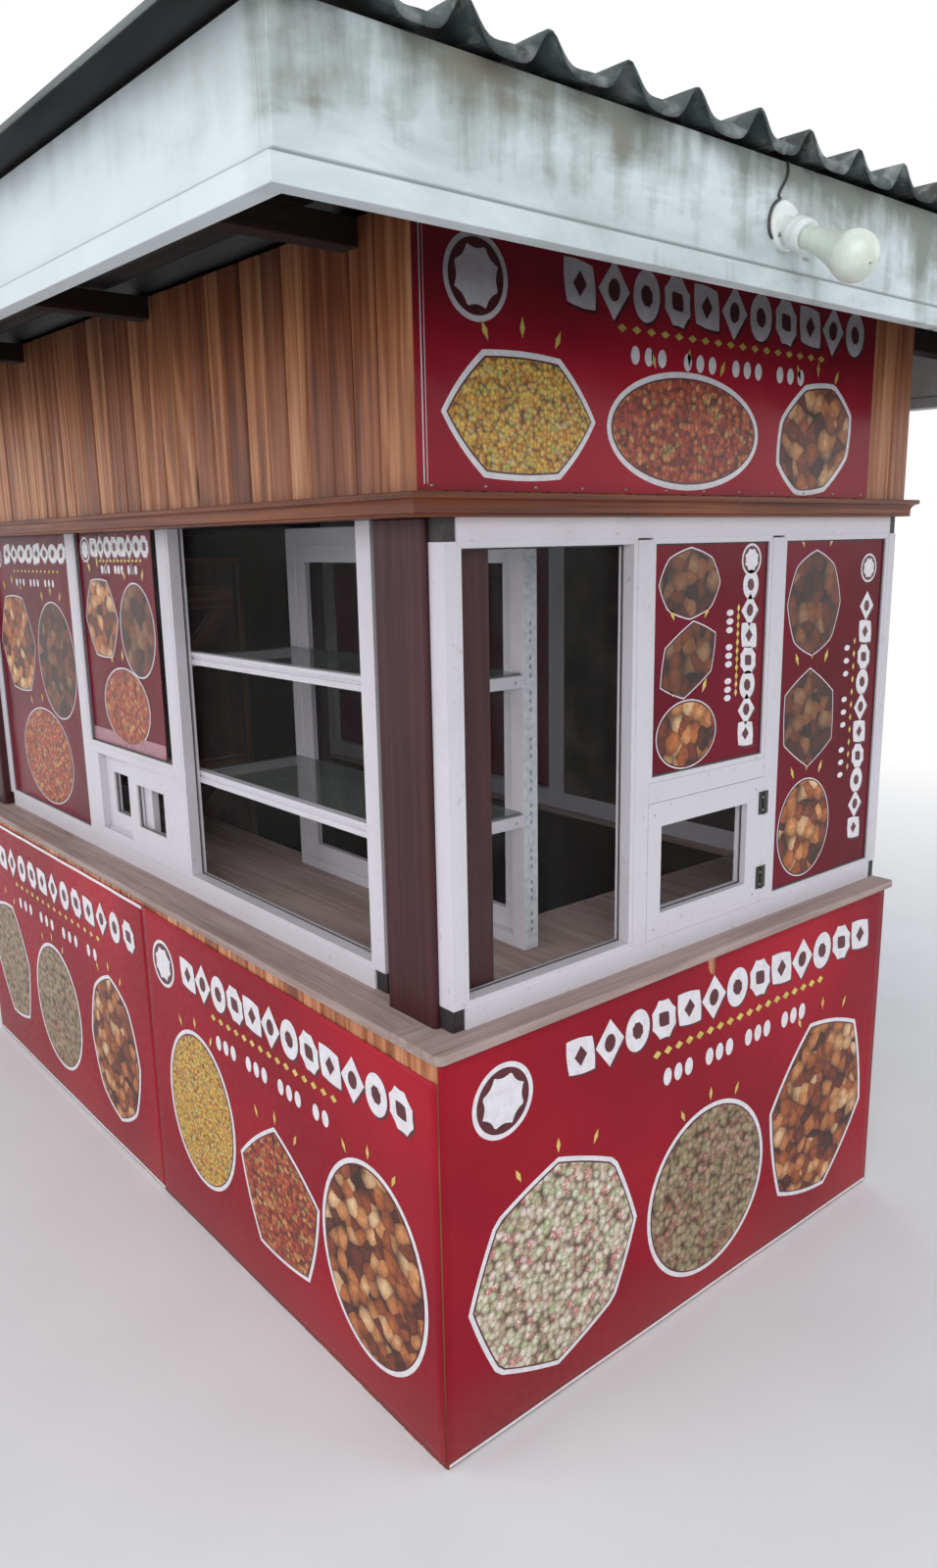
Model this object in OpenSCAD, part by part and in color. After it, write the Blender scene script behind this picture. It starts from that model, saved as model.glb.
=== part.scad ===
// Timber food kiosk: boarded base, white aluminium shopfront frames, boarded upper band
// and a broad flat roof with corrugated sheets. Units mm, +Z up. The long side runs along Y
// and the short shop front faces -Y. The origin is the middle of the bounding box, at the ground.
// Inside the modules x is measured from the left outer face of the base, y from its front
// outer face and z from the ground. place() moves that corner frame to the origin.

/* [Body] */
// Width of the base along the shop front
base_w = 1650; // [1375:5:1980]
// Length of the base along the long side
base_l = 2980; // [2480:10:3580]
// Height of the base under the ledge
base_h = 950; // [790:5:1140]
// Thickness of the base wall, boards and studs together
wall_t = 66; // [55:1:80]
// Thickness of the ledge boards
ledge_t = 22; // [18:1:28]
// Reach of the front ledge beyond the base
ledge_out = 21; // [10:1:30]
// Reach of the side ledges beyond the base
side_out = 12; // [8:1:20]
// Side of the square corner posts
post_s = 165; // [140:1:180]
// Chamfer on the arrises of the posts
post_cut = 5; // [2:1:10]
// Length of the near banner on the long side
banner_l = 1382; // [1150:2:1660]
// Width of the door at the back
door_w = 780; // [650:5:936]
// Height of the door at the back
door_h = 1880; // [1570:5:1940]

/* [Frames] */
// Height of the aluminium frames from ledge to upper band
frame_h = 1020; // [850:5:1225]
// Depth of the aluminium sections
frame_d = 46; // [38:1:50]
// Width of the end stiles of the front frame, with their bead
stile_w = 44; // [36:1:54]
// Width of the near stile of a side frame, with its bead
side_stile_w = 54; // [45:1:64]
// Height of the top rail without its bead
head_h = 44; // [36:1:54]
// Height of the bottom rail without its bead
sill_h = 48; // [40:1:58]
// Width of the front mullions, with both beads
mull_w = 72; // [56:1:86]
// Width of the side mullions, with both beads
side_mull_w = 76; // [60:1:90]
// Width of the glazing beads
bead_w = 13; // [10:1:16]
// Step from the face of the sections back to the beads
bead_step = 1.5; // [0.5:0.5:3]
// Clear width of the first front bay
bay_1_w = 479; // [400:1:575]
// Clear width of the second front bay, over the hatch
bay_2_w = 415; // [346:1:498]
// Clear width of the first side bay, in front of the cabinet
side_bay_1_w = 887; // [740:1:1064]
// Clear width of the second side bay, over the sliding hatch
side_bay_2_w = 601; // [500:1:721]
// Setback of the front frame from the base face
front_set = 40; // [30:1:60]
// Setback of the side frame from the base face
side_set = 94; // [85:1:110]
// Rise of the side frames behind the upper band
side_rise = 64; // [58:1:80]
// Height of the front transom above the ledge, to its underside
transom_z = 381; // [310:1:460]
// Height of the front transom without its bead
transom_h = 48; // [40:1:58]
// Thickness of the panes
pane_t = 5; // [4:1:8]
// Setback of the clear panes behind the face of the sections
pane_back = 34; // [28:1:36]
// Setback of the printed panels behind the face of the sections
print_back = 8; // [6:1:12]

/* [Hatches] */
// Width of the front sash member on the latch side
sash_latch_w = 47; // [40:1:56]
// Width of the front sash member on the hinge side
sash_hinge_w = 65; // [54:1:70]
// Height of the low member of the front sash
sash_low_h = 62; // [52:1:70]
// Height of the high member of the front sash
sash_high_h = 58; // [48:1:70]
// Depth of the front sash
sash_d = 36; // [30:1:40]
// Length of the hinges
hinge_l = 59; // [50:1:70]
// Height of the sill track of the sliding hatch
track_h = 37; // [30:1:44]
// Width of the jamb beside the sliding hatch
jamb_w = 60; // [50:1:72]
// Overlap of the two sliding sashes
slide_lap = 119; // [100:1:140]

/* [Upper band] */
// Height of the moulding under the upper band
mould_h = 43; // [34:1:52]
// Reach of the moulding beyond the boards
mould_d = 28; // [20:1:36]
// Thickness of the upper band, boards on both sides of its studs
band_t = 110; // [90:1:130]
// Width of the sign on the front of the band
sign_w = 1457; // [1210:1:1600]
// Underside of the fascia above the top of the frames
eave_rise = 321; // [268:1:385]

/* [Roof] */
// Reach of the roof beyond the base at the front and the back
overhang = 488; // [407:1:585]
// Reach of the roof beyond the base at the sides
side_overhang = 557; // [465:1:668]
// Height of the fascia boards
fascia_h = 185; // [155:1:222]
// Thickness of the fascia boards
fascia_t = 25; // [20:1:30]
// Height of the trim along the bottom of the fascia
trim_h = 32; // [26:1:38]
// Fall of the roof to the front, in degrees
fall = 1; // [0.5:0.1:2]
// Distance between the ribs of the roofing
rib_pitch = 134; // [112:1:160]
// Height of the ribs
rib_h = 50; // [42:1:60]
// Reach of the sheets beyond the fascia at the front and the back
sheet_out = 30; // [25:1:40]
// Reach of the sheets beyond the fascia at the sides
sheet_side = 60; // [50:1:72]

/* [Cabinet] */
// Depth of the display cabinet behind the side frame
cab_d = 360; // [300:5:430]
// Height of the lower shelf above the ledge
shelf_low = 340; // [290:5:400]
// Height of the upper shelf above the ledge
shelf_high = 672; // [560:5:800]
// Width of the members of the cabinet's back frame
cab_frame_w = 45; // [38:1:54]
// Width of the members of its sliding leaves
leaf_w = 50; // [42:1:60]

/* [Lamp] */
// Diameter of the bulb's globe
bulb_d = 71; // [60:1:85]
// Distance from the fascia to the middle of the globe along the lamp
lamp_l = 171; // [145:1:200]
// Place of the lamp from the left face of the base
lamp_x = 332; // [0:1:800]
// Droop of the lamp below level, in degrees
lamp_tilt = 26; // [0:1:40]

/* [Hidden] */
$fn = 48;
// small sizes
seam = 0.3;
play = 0.3;
pane_in = 6;
panel_t = 4;
skin_t = 2;
roof_t = 1;
trim_t = 9;
board_gap = 1;
mull_gap = 4;
band_y = 20;
sign_in = 6;
nose_r = 18;
right_set = 28;
lamp_turn = 15;
lamp_up = 94;
slide_t = 20;
slide_gap = 2;
slide_in = 6;
slide_lip = 3;
pane_at = 8;
tie_rail_h = 25;
hinge_w = 36;
hinge_up = 38;
hinge_t = 3;
barrel_r = 4;
purlin_w = 50;
purlin_h = 50;
// levels
ledge_z = base_h + ledge_t;
top_z = ledge_z + frame_h;
eave_z = top_z + eave_rise;
valley_z = eave_z + fascia_h;
slope = tan(fall);
function under_sheet(y) = valley_z + (y + overhang) * slope;
roof_x0 = -side_overhang;
roof_x1 = base_w + side_overhang;
back_rise = (base_l + 2 * overhang) * slope;
sill_z = ledge_z + sill_h;
head_z = top_z - head_h;
side_top_z = top_z + side_rise;
side_head_z = side_top_z - head_h;
tr_z = ledge_z + transom_z;
tie_z = tr_z - 50;
// posts
post_x = wall_t;
post_y = front_set + frame_d;
ux1 = base_w + side_out;
// front frame, positions along x of the bays and the ends
fx0 = post_x + side_out;
fx1 = ux1;
fa = fx0 + stile_w;
fb = fa + bay_1_w;
fc = fb + mull_w;
fd = fc + bay_2_w;
fe = fd + mull_w;
ff = fx1 - stile_w;
// side frames, positions along y
sy0 = post_y + post_s + frame_d;
sy1 = base_l - post_s;
sa = sy0 + side_stile_w;
sb = sa + side_bay_1_w;
sc = sb + side_mull_w;
sd = sc + side_bay_2_w;
se = sd + side_mull_w;
sf = sy1 - stile_w;
rx = base_w - right_set;
// cabinet
cab_x0 = side_set + frame_d;
cab_x1 = cab_x0 + cab_d;
cab_y0 = post_y + post_s + 34;
cab_y1 = sc;
// roof and lamp
lamp_z = eave_z + lamp_up;
bulb_r = bulb_d / 2;
lamp_reach = lamp_l * cos(lamp_tilt) * cos(lamp_turn) + bulb_r;
y_min = -overhang - max(lamp_reach, sheet_out);
y_max = base_l + overhang + sheet_out;
mid_y = (y_min + y_max) / 2;

module place() translate([-base_w / 2, -mid_y, 0]) children();

// a box from corner to corner
module box(x0, x1, y0, y1, z0, z1) translate([x0, y0, z0]) cube([x1 - x0, y1 - y0, z1 - z0]);

// points on an arc
function arc(cx, cy, r, a0, a1, n) = [
    for (i = [0 : n]) let (a = a0 + (a1 - a0) * i / n) [cx + r * cos(a), cy + r * sin(a)]];

// points in (y, z) pushed from x0 to x1
module side_prism(x0, x1, pts) translate([x0, 0, 0]) rotate([90, 0, 90]) linear_extrude(x1 - x0) polygon(pts);

// A frame is drawn along u, with the depth d behind its face and the height z. On the front u runs
// along x, on a side along y.
module on_front() translate([0, front_set, 0]) children();
module on_left() translate([side_set, 0, 0]) mirror([1, -1, 0]) children();
module on_right() translate([rx, 0, 0]) mirror([1, 0, 0]) mirror([1, -1, 0]) children();
module on_cabinet() translate([cab_x1, 0, 0]) mirror([1, -1, 0]) children();

// an outline in (u, z) from depth d0 to d1
module plate(d0, d1, pts) translate([0, d1, 0]) rotate([90, 0, 0]) linear_extrude(d1 - d0) polygon(pts);

// four members mitred round the opening o = [u0, u1, z0, z1], their widths w = [left, right, low, high]
module mitred(o, w, d0, d1) {
    a = o[0] - w[0];
    b = o[1] + w[1];
    c = o[2] - w[2];
    e = o[3] + w[3];
    plate(d0, d1, [[a, c + seam], [o[0], o[2] + seam], [o[0], o[3] - seam], [a, e - seam]]);
    plate(d0, d1, [[b, c + seam], [b, e - seam], [o[1], o[3] - seam], [o[1], o[2] + seam]]);
    plate(d0, d1, [[a, c], [b, c], [o[1], o[2]], [o[0], o[2]]]);
    plate(d0, d1, [[a, e], [o[0], o[3]], [o[1], o[3]], [b, e]]);
}

// a pane of thickness t in the opening o, let into its members by g
module pane(o, back, t, g) box(o[0] - g, o[1] + g, back, back + t, o[2] - g, o[3] + g);

// mitred members with a groove for their pane
module glazed(o, w, d0, d1, back, t) difference() {
    mitred(o, w, d0, d1);
    pane(o, back - play, t + 2 * play, pane_in + play);
}
module beads(o, back, t) glazed(o, [bead_w, bead_w, bead_w, bead_w], bead_step, frame_d, back, t);

// clear openings inside the beads
function bay(u0, u1, z0, z1) = [u0, u1, z0 + bead_w, z1 - bead_w];
front_1 = bay(fa, fb, sill_z, head_z);
front_2 = bay(fc, fd, tr_z + transom_h, head_z);
front_3 = bay(fe, ff, sill_z, head_z);
side_1 = bay(sa, sb, sill_z, side_head_z);
side_2 = bay(sc, sd, sill_z, side_head_z);
left_2 = bay(sc, sd, tie_z + tie_rail_h, side_head_z);
side_3 = bay(se, sf, sill_z, side_head_z);

// posts, in the order near left, near right, far left, far right
function square_cut(s, c) = [[c, 0], [s - c, 0], [s, c], [s, s - c], [s - c, s], [c, s], [0, s - c], [0, c]];
module post_at(x, y, z0) translate([x, y, z0])
    linear_extrude(top_z - z0) polygon(square_cut(post_s, post_cut));
module post(n) {
    if (n == 0) post_at(post_x, post_y, 0);
    if (n == 1) post_at(base_w - post_s, post_y, ledge_z);
    if (n == 2) post_at(post_x, base_l - post_s, 0);
    if (n == 3) post_at(base_w - post_s, base_l - post_s, 0);
}

// base
module base_front_wall() color("#8a5a3a") place() box(0, base_w, 0, wall_t, 0, base_h);
module base_left_wall() color("#8a5a3a") place() box(0, wall_t, wall_t, base_l, 0, base_h);
module base_right_wall() color("#8a5a3a") place()
    box(base_w - wall_t, base_w, wall_t, base_l - post_s, 0, base_h);

// back wall and its door: boards on ledges and braces, hung on three butt hinges
door_play = 3;
door_t = 22;
door_z0 = 12;
door_z1 = door_z0 + door_h;
door_x0 = base_w / 2 - door_w / 2;
door_x1 = base_w / 2 + door_w / 2;
batten_h = 95;
batten_in = 40;
batten_up = 120;
batten_z = [door_z0 + batten_up, door_z0 + (door_h - batten_h) / 2, door_z1 - batten_up - batten_h];
module back_wall() color("#8a5a3a") place() {
    box(post_x + post_s, door_x0, base_l - wall_t, base_l, 0, top_z);
    box(door_x1, base_w - post_s, base_l - wall_t, base_l, 0, top_z);
    box(door_x0 + seam, door_x1 - seam, base_l - wall_t, base_l, door_z1 + door_play, top_z);
}
module brace(z0, z1) plate(base_l - 2 * door_t, base_l - door_t, [
    [door_x0 + batten_in, z0], [door_x0 + batten_in + batten_h, z0],
    [door_x1 - batten_in, z1], [door_x1 - batten_in - batten_h, z1]]);
module back_door() color("#7c4f33") place() {
    box(door_x0 + door_play, door_x1 - door_play, base_l - door_t, base_l, door_z0, door_z1);
    for (z = batten_z)
        box(door_x0 + batten_in, door_x1 - batten_in, base_l - 2 * door_t, base_l - door_t, z, z + batten_h);
    brace(batten_z[0] + batten_h + seam, batten_z[1] - seam);
    brace(batten_z[1] + batten_h + seam, batten_z[2] - seam);
}
// hinges and a D handle
butt_l = 90;
butt_w = 48;
pin_r = 6;
grip_z = 1050;
grip_l = 150;
grip_out = 38;
grip_r = 8;
module butt_hinge(x, z) {
    box(x - butt_w / 2, x + butt_w / 2, base_l, base_l + hinge_t, z, z + butt_l);
    translate([x, base_l + pin_r, z]) cylinder(r = pin_r, h = butt_l);
}
module back_door_fittings() color("#1e1c1e") place() {
    for (z = batten_z) butt_hinge(door_x1 - door_play / 2, z);
    translate([door_x0 + batten_in + 20, base_l, grip_z]) {
        for (z = [0, grip_l]) translate([0, 0, z]) rotate([-90, 0, 0]) cylinder(r = pin_r, h = grip_out);
        translate([0, grip_out, -grip_r]) cylinder(r = grip_r, h = grip_l + 2 * grip_r);
    }
}

// floor on five bearers
bearer_s = 50;
floor_t = 20;
bearer_in = wall_t + 300;
bearer_step = (base_l - 2 * bearer_in - bearer_s) / 4;
module floor_boards() color("#6b5240") place() difference() {
    box(wall_t, base_w - wall_t, wall_t, base_l - wall_t, bearer_s, bearer_s + floor_t);
    for (n = [0 : 3]) post(n);
}
module floor_bearers() color("#6b4a33") place() for (i = [0 : 4])
    translate([0, bearer_in + i * bearer_step, 0]) box(wall_t, base_w - wall_t, 0, bearer_s, 0, bearer_s);

module corner_posts() color("#4a2c28") place() for (n = [0 : 3]) post(n);

// ledges: two boards on the front and the left, and a rounded end on the front strip
strip_y = 33;
strip_x = 38;
ledge_in = 140;
ledge_right_w = 80;
module ledge_front() color("#87786f") place() difference() {
    translate([0, 0, base_h]) linear_extrude(ledge_t) {
        polygon(concat(arc(nose_r - side_out, nose_r - ledge_out, nose_r, 180, 270, 5),
                       [[ux1, -ledge_out], [ux1, strip_y], [-side_out, strip_y]]));
        translate([-side_out, strip_y + board_gap]) square([ux1 + side_out, ledge_in - strip_y - board_gap]);
    }
    post(0);
}
module ledge_left() color("#87786f") place() difference() {
    union() {
        box(-side_out, strip_x, ledge_in, base_l, base_h, ledge_z);
        box(strip_x + board_gap, ledge_in, ledge_in, base_l, base_h, ledge_z);
    }
    post(0);
    post(2);
}
module ledge_right() color("#87786f") place() difference() {
    box(base_w - ledge_right_w, ux1, ledge_in, base_l, base_h, ledge_z);
    post(3);
}

// banners, the near one on the long side lower towards the corner
hem_z = 5;
far_down = 20;
corner_down = 45;
banner_end = 20;
module banner_front() color("#a31d30") place() box(0, base_w, -skin_t, 0, hem_z, base_h - 2);
module banner_left() color("#a31d30") place() {
    side_prism(-skin_t, 0,
        [[0, hem_z], [banner_l, hem_z], [banner_l, base_h - far_down], [0, base_h - corner_down]]);
    box(-skin_t, 0, banner_l + 2, base_l - banner_end, hem_z, base_h - far_down);
}

// front frame: stiles and rails butt at the corners, where dark blocks fill the open ends, and the
// glazing beads are mitred
module front_frame() color("#dcdce2") place() on_front() {
    box(fx0, fa - bead_w, 0, frame_d, sill_z + seam, head_z - seam);
    box(ff + bead_w, fx1, 0, frame_d, sill_z + seam, head_z - seam);
    box(fa - bead_w, ff + bead_w, 0, frame_d, ledge_z, sill_z);
    box(fa - bead_w, ff + bead_w, 0, frame_d, head_z, top_z);
    beads(front_1, pane_back, pane_t);
    beads(front_2, print_back, panel_t);
    beads(front_3, print_back, panel_t);
}
// the mullions stop short of the head, and the transom stands between them
module front_mullions() color("#dcdce2") place() on_front() {
    for (u = [fb, fd]) box(u + bead_w, u + mull_w - bead_w, 0, frame_d, sill_z, head_z - mull_gap);
    box(fc - bead_w + seam, fd + bead_w - seam, 0, frame_d, tr_z, tr_z + transom_h);
}
block_in = 4;
fillet_in = 10;
module corner_blocks() color("#2c2426") place() {
    on_front() for (u = [fx0, ff + bead_w], z = [[ledge_z, sill_z], [head_z, top_z]])
        box(u, u + stile_w - bead_w, block_in, frame_d, z[0], z[1]);
    on_left() {
        box(sy0, sa - bead_w, block_in, frame_d, ledge_z, sill_z);
        box(sf + bead_w, sy1, block_in, frame_d, ledge_z, sill_z);
        box(post_y + post_s, sy0, fillet_in, frame_d, ledge_z, top_z);
    }
}

// hinged sash under the front transom, flush with the mullions
sash_play = 0.8;
sash_o = [fc - bead_w + sash_play + sash_latch_w, fd + bead_w - sash_play - sash_hinge_w,
          sill_z + sash_play + sash_low_h, tr_z - sash_play - sash_high_h];
module front_hatch_sash() color("#dcdce2") place() on_front()
    glazed(sash_o, [sash_latch_w, sash_hinge_w, sash_low_h, sash_high_h], 0, sash_d, sash_d / 2, pane_t);
module front_hatch_hinges() color("#1e1c1e") place() on_front()
    for (z = [sill_z + hinge_up, tr_z - hinge_up - hinge_l]) translate([fd + bead_w, 0, z]) {
        box(-hinge_w / 2, hinge_w / 2, -hinge_t, 0, 0, hinge_l);
        translate([0, -barrel_r, 0]) cylinder(r = barrel_r, h = hinge_l);
    }
module front_glass() color("#9fb0b4", 0.35) place() on_front() {
    pane(front_1, pane_back, pane_t, pane_in);
    pane(sash_o, sash_d / 2, pane_t, pane_in);
}
module front_panels() color("#78202a") place() on_front() {
    pane(front_2, print_back, panel_t, pane_in);
    pane(front_3, print_back, panel_t, pane_in);
}

// side frames, whose heads stand behind the upper band
module side_members(u0) {
    box(u0, sa - bead_w, 0, frame_d, sill_z + seam, side_top_z);
    box(sf + bead_w, sy1, 0, frame_d, sill_z + seam, side_top_z);
    box(sa - bead_w + seam, sf + bead_w - seam, 0, frame_d, side_head_z, side_top_z);
}
module side_mullions() for (u = [sb, sd])
    box(u + bead_w, u + side_mull_w - bead_w, 0, frame_d, sill_z, side_head_z - seam);
module left_frame() color("#dcdce2") place() on_left() {
    side_members(sy0);
    box(sa - bead_w, sf + bead_w, 0, frame_d, ledge_z, sill_z);
    beads(side_1, pane_back, pane_t);
    beads(left_2, print_back, pane_t);
    beads(side_3, print_back, panel_t);
}
// the sliding hatch has a tie rail over it, a jamb beside it and a sill with two tracks
hatch_u0 = sc - bead_w;
hatch_u1 = sd + bead_w - jamb_w;
track_z = sill_z + track_h;
slide_w = (hatch_u1 - hatch_u0 + slide_lap) / 2;
slide_1 = [hatch_u0, hatch_u0 + slide_w];
slide_2 = [hatch_u1 - slide_w, hatch_u1];
slide_d1 = 1;
slide_d2 = slide_d1 + slide_t + slide_gap;
module left_mullions() color("#dcdce2") place() on_left() {
    side_mullions();
    box(sc - bead_w + seam, sd + bead_w - seam, 0, frame_d, tie_z, tie_z + tie_rail_h);
    box(hatch_u1, sd + bead_w - seam, 0, frame_d, track_z + seam, tie_z - seam);
    difference() {
        box(hatch_u0 + seam, sd + bead_w - seam, 0, frame_d, sill_z, track_z);
        for (d = [slide_d1, slide_d2])
            box(hatch_u0, hatch_u1, d + slide_lip, d + slide_t - slide_lip, track_z - slide_in, track_z + 1);
    }
}
// the members of the sliding sashes, [near, far, low, high]
slide_w1 = [92, 62, 54, 60];
slide_w2 = [62, 62, 58, 56];
function slide_o(u, w) = [u[0] + w[0], u[1] - w[1], track_z + w[2], tie_z - w[3]];
slide_o1 = slide_o(slide_1, slide_w1);
slide_o2 = slide_o(slide_2, slide_w2);
module sliding_sash(o, u, w, d) difference() {
    glazed(o, [w[0] - play, w[1] - play, w[2] + slide_in - play, w[3] - play],
        d, d + slide_t, d + pane_at, pane_t);
    for (side = [d - slide_lip, d + slide_t - slide_lip - play])
        box(u[0], u[1], side, side + 2 * slide_lip + play, track_z - slide_in, track_z + play);
}
module left_hatch_sashes() color("#dcdce2") place() on_left() {
    sliding_sash(slide_o1, slide_1, slide_w1, slide_d1);
    sliding_sash(slide_o2, slide_2, slide_w2, slide_d2);
}
module left_glass() color("#9fb0b4", 0.35) place() on_left() {
    pane(slide_o1, slide_d1 + pane_at, pane_t, pane_in);
    pane(slide_o2, slide_d2 + pane_at, pane_t, pane_in);
    pane(side_1, pane_back, pane_t, pane_in);
    pane(left_2, print_back, pane_t, pane_in);
}
print_in = 60;
module left_panels() color("#78202a") place() on_left() {
    pane(side_3, print_back, panel_t, pane_in);
    translate([0, print_back + pane_t + seam, 0])
        box(left_2[0] + print_in, left_2[1] - seam, 0, skin_t, left_2[2] + seam, left_2[3] - seam);
}
module right_frame() color("#dcdce2") place() on_right() {
    side_members(post_y + post_s);
    side_mullions();
    box(post_y + post_s, sy1, 0, frame_d, ledge_z, sill_z);
    beads(side_1, pane_back, pane_t);
    for (o = [side_2, side_3]) beads(o, print_back, panel_t);
}
module right_glass() color("#9fb0b4", 0.35) place() on_right() pane(side_1, pane_back, pane_t, pane_in);
module right_panels() color("#78202a") place() on_right()
    for (o = [side_2, side_3]) pane(o, print_back, panel_t, pane_in);

// display cabinet behind the near side bay: a back frame with two sliding leaves, and two glass shelves
cab_my = (cab_y0 + cab_y1) / 2;
cab_sill = 30;
cab_d_back = 45;
cab_o = [cab_y0 + cab_frame_w, cab_y1 - cab_frame_w, ledge_z + cab_sill, top_z - cab_frame_w];
leaf_lap = 20;
leaf_t = 18;
leaf_glass = 4;
leaf_at = 7;
leaf_d1 = 2;
leaf_d2 = leaf_d1 + leaf_t + 4;
leaf_4w = [leaf_w, leaf_w, leaf_w, leaf_w];
leaf_in = leaf_w + play;
function leaf_o(u0, u1) = [u0 + leaf_in, u1 - leaf_in, cab_o[2] + leaf_in, cab_o[3] - leaf_in];
leaf_o1 = leaf_o(cab_my - leaf_lap, cab_o[1]);
leaf_o2 = leaf_o(cab_o[0], cab_my + leaf_lap);
module cabinet_back_frame() color("#dcdce2") place() on_cabinet() {
    mitred(cab_o, [cab_frame_w, cab_frame_w, cab_sill, cab_frame_w], 0, cab_d_back);
    glazed(leaf_o1, leaf_4w, leaf_d1, leaf_d1 + leaf_t, leaf_d1 + leaf_at, leaf_glass);
    glazed(leaf_o2, leaf_4w, leaf_d2, leaf_d2 + leaf_t, leaf_d2 + leaf_at, leaf_glass);
}
rail_d = 22;
rail_h = 34;
rail_low = 14;
seat_d = 10;
shelf_t = 6;
shelf_end = 8;
shelf_zs = [ledge_z + shelf_low, ledge_z + shelf_high];
module cabinet_glass() color("#9fb0b4", 0.35) place() {
    on_cabinet() {
        pane(leaf_o1, leaf_d1 + leaf_at, leaf_glass, pane_in);
        pane(leaf_o2, leaf_d2 + leaf_at, leaf_glass, pane_in);
    }
    for (z = shelf_zs)
        box(cab_x0 + rail_d - seat_d, cab_x1, cab_y0 + shelf_end, cab_y1 - shelf_end, z, z + shelf_t);
}
// shelf rails, a section with a groove along its face and a rebate for the glass
seat_x = rail_d - seat_d;
seat_z = rail_low + shelf_t;
rail_pts = [[0, 0], [rail_d, 0], [rail_d, rail_low], [seat_x, rail_low], [seat_x, seat_z], [rail_d, seat_z],
            [rail_d, rail_h], [0, rail_h], [0, rail_h - 11], [5, rail_h - 13], [5, rail_low + 2],
            [0, rail_low]];
// angle brackets along the shelf ends, with a hole in the leg that is screwed to the end of the cabinet
leg_h = 28;
leg_w = 23;
leg_t = 3;
hole_r = 4;
module shelf_bracket() difference() {
    side_prism(cab_x0 + rail_d + seam, cab_x1 - seam,
        [[0, -leg_h], [leg_t, -leg_h], [leg_t, -leg_t], [leg_w, -leg_t], [leg_w, 0], [0, 0]]);
    translate([cab_x1 - leg_w, -1, -(leg_h + leg_t) / 2]) rotate([-90, 0, 0])
        cylinder(r = hole_r, h = leg_t + 2);
}
module cabinet_shelf_rails() color("#dcdce2") place() for (z = shelf_zs) {
    translate([cab_x0, cab_y1, z - rail_low]) rotate([90, 0, 0])
        linear_extrude(cab_y1 - cab_y0) polygon(rail_pts);
    translate([0, cab_y0, z]) shelf_bracket();
    translate([0, cab_y1, z]) mirror([0, 1, 0]) shelf_bracket();
}
// counter boards on legs, along the long side and across the front
counter_x = cab_x1 + 60;
counter_y = 460;
leg_s = 45;
module counter_boards() color("#7a6758") place() difference() {
    union() {
        box(ledge_in, counter_x, ledge_in, base_l - wall_t, base_h, ledge_z);
        box(counter_x, base_w - ledge_right_w, ledge_in, counter_y, base_h, ledge_z);
    }
    for (n = [0 : 2]) post(n);
}
module leg(x, y) box(x - leg_s, x, y - leg_s, y, bearer_s + floor_t, base_h);
module counter_legs() color("#6b4a33") place() {
    for (y = [counter_y + 65, (base_l + counter_y) / 2, base_l - wall_t - 15]) leg(counter_x - 10, y);
    leg(base_w - 95, counter_y - 15);
}

// upper band
uy0 = band_y;
uy1 = base_l;
p_in = uy0 + band_t + 60;
p_out = uy1 - band_t - 60;
p_step = (p_out - p_in) / 3;
p_edge = overhang - fascia_t - purlin_w / 2;
purlin_y = concat([-p_edge], [for (i = [0 : 3]) p_in + i * p_step], [base_l + p_edge]);
module purlin_boxes(g) for (y = purlin_y) translate([0, y - purlin_w / 2, under_sheet(y - purlin_w / 2)])
    box(roof_x0 + fascia_t - g, roof_x1 - fascia_t + g, -g, purlin_w + g, -purlin_h - g, 0);
function wall_top(y) = under_sheet(y) - seam;
module upper_wall(x0, x1, y0, y1)
    side_prism(x0, x1, [[y0, top_z], [y1, top_z], [y1, wall_top(y1)], [y0, wall_top(y0)]]);
module upper_front_wall() color("#96603c") place() upper_wall(0, ux1, uy0, uy0 + band_t);
module upper_back_wall() color("#96603c") place() upper_wall(0, ux1, uy1 - band_t, uy1);
// the side walls are notched for the purlins and rebated for the heads of the frames
module upper_side(x0, x1, r0, r1) difference() {
    upper_wall(x0, x1, uy0 + band_t, uy1 - band_t);
    purlin_boxes(seam);
    box(r0, r1, post_y + post_s - seam, sy1 + seam, top_z - 1, side_top_z + seam);
}
side_wall_t = side_set + frame_d + 10;
module upper_left_wall() color("#96603c") place()
    upper_side(0, side_wall_t, side_set - seam, side_wall_t + 1);
module upper_right_wall() color("#96603c") place()
    upper_side(ux1 - band_t, ux1, ux1 - band_t - 1, rx + seam);

// crown profile, from the wall outwards and up: a bead, a cove and a square lip
lip_h = 11;
cove_r = min(mould_d - 12, mould_h - lip_h - 14);
mould_pts = concat([[0, 0], [10, 0]], arc(9, 3, 3, -60, 60, 3), [[12, 6], [12, mould_h - lip_h - cove_r]],
                   arc(12 + cove_r, mould_h - lip_h - cove_r, cove_r, 180, 90, 5),
                   [[mould_d, mould_h - lip_h], [mould_d, mould_h], [0, mould_h]]);
module mitre_cut(a) rotate([0, 0, a]) translate([0, -2 * mould_d, -1])
    cube([4 * mould_d, 4 * mould_d, mould_h + 2]);
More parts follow.
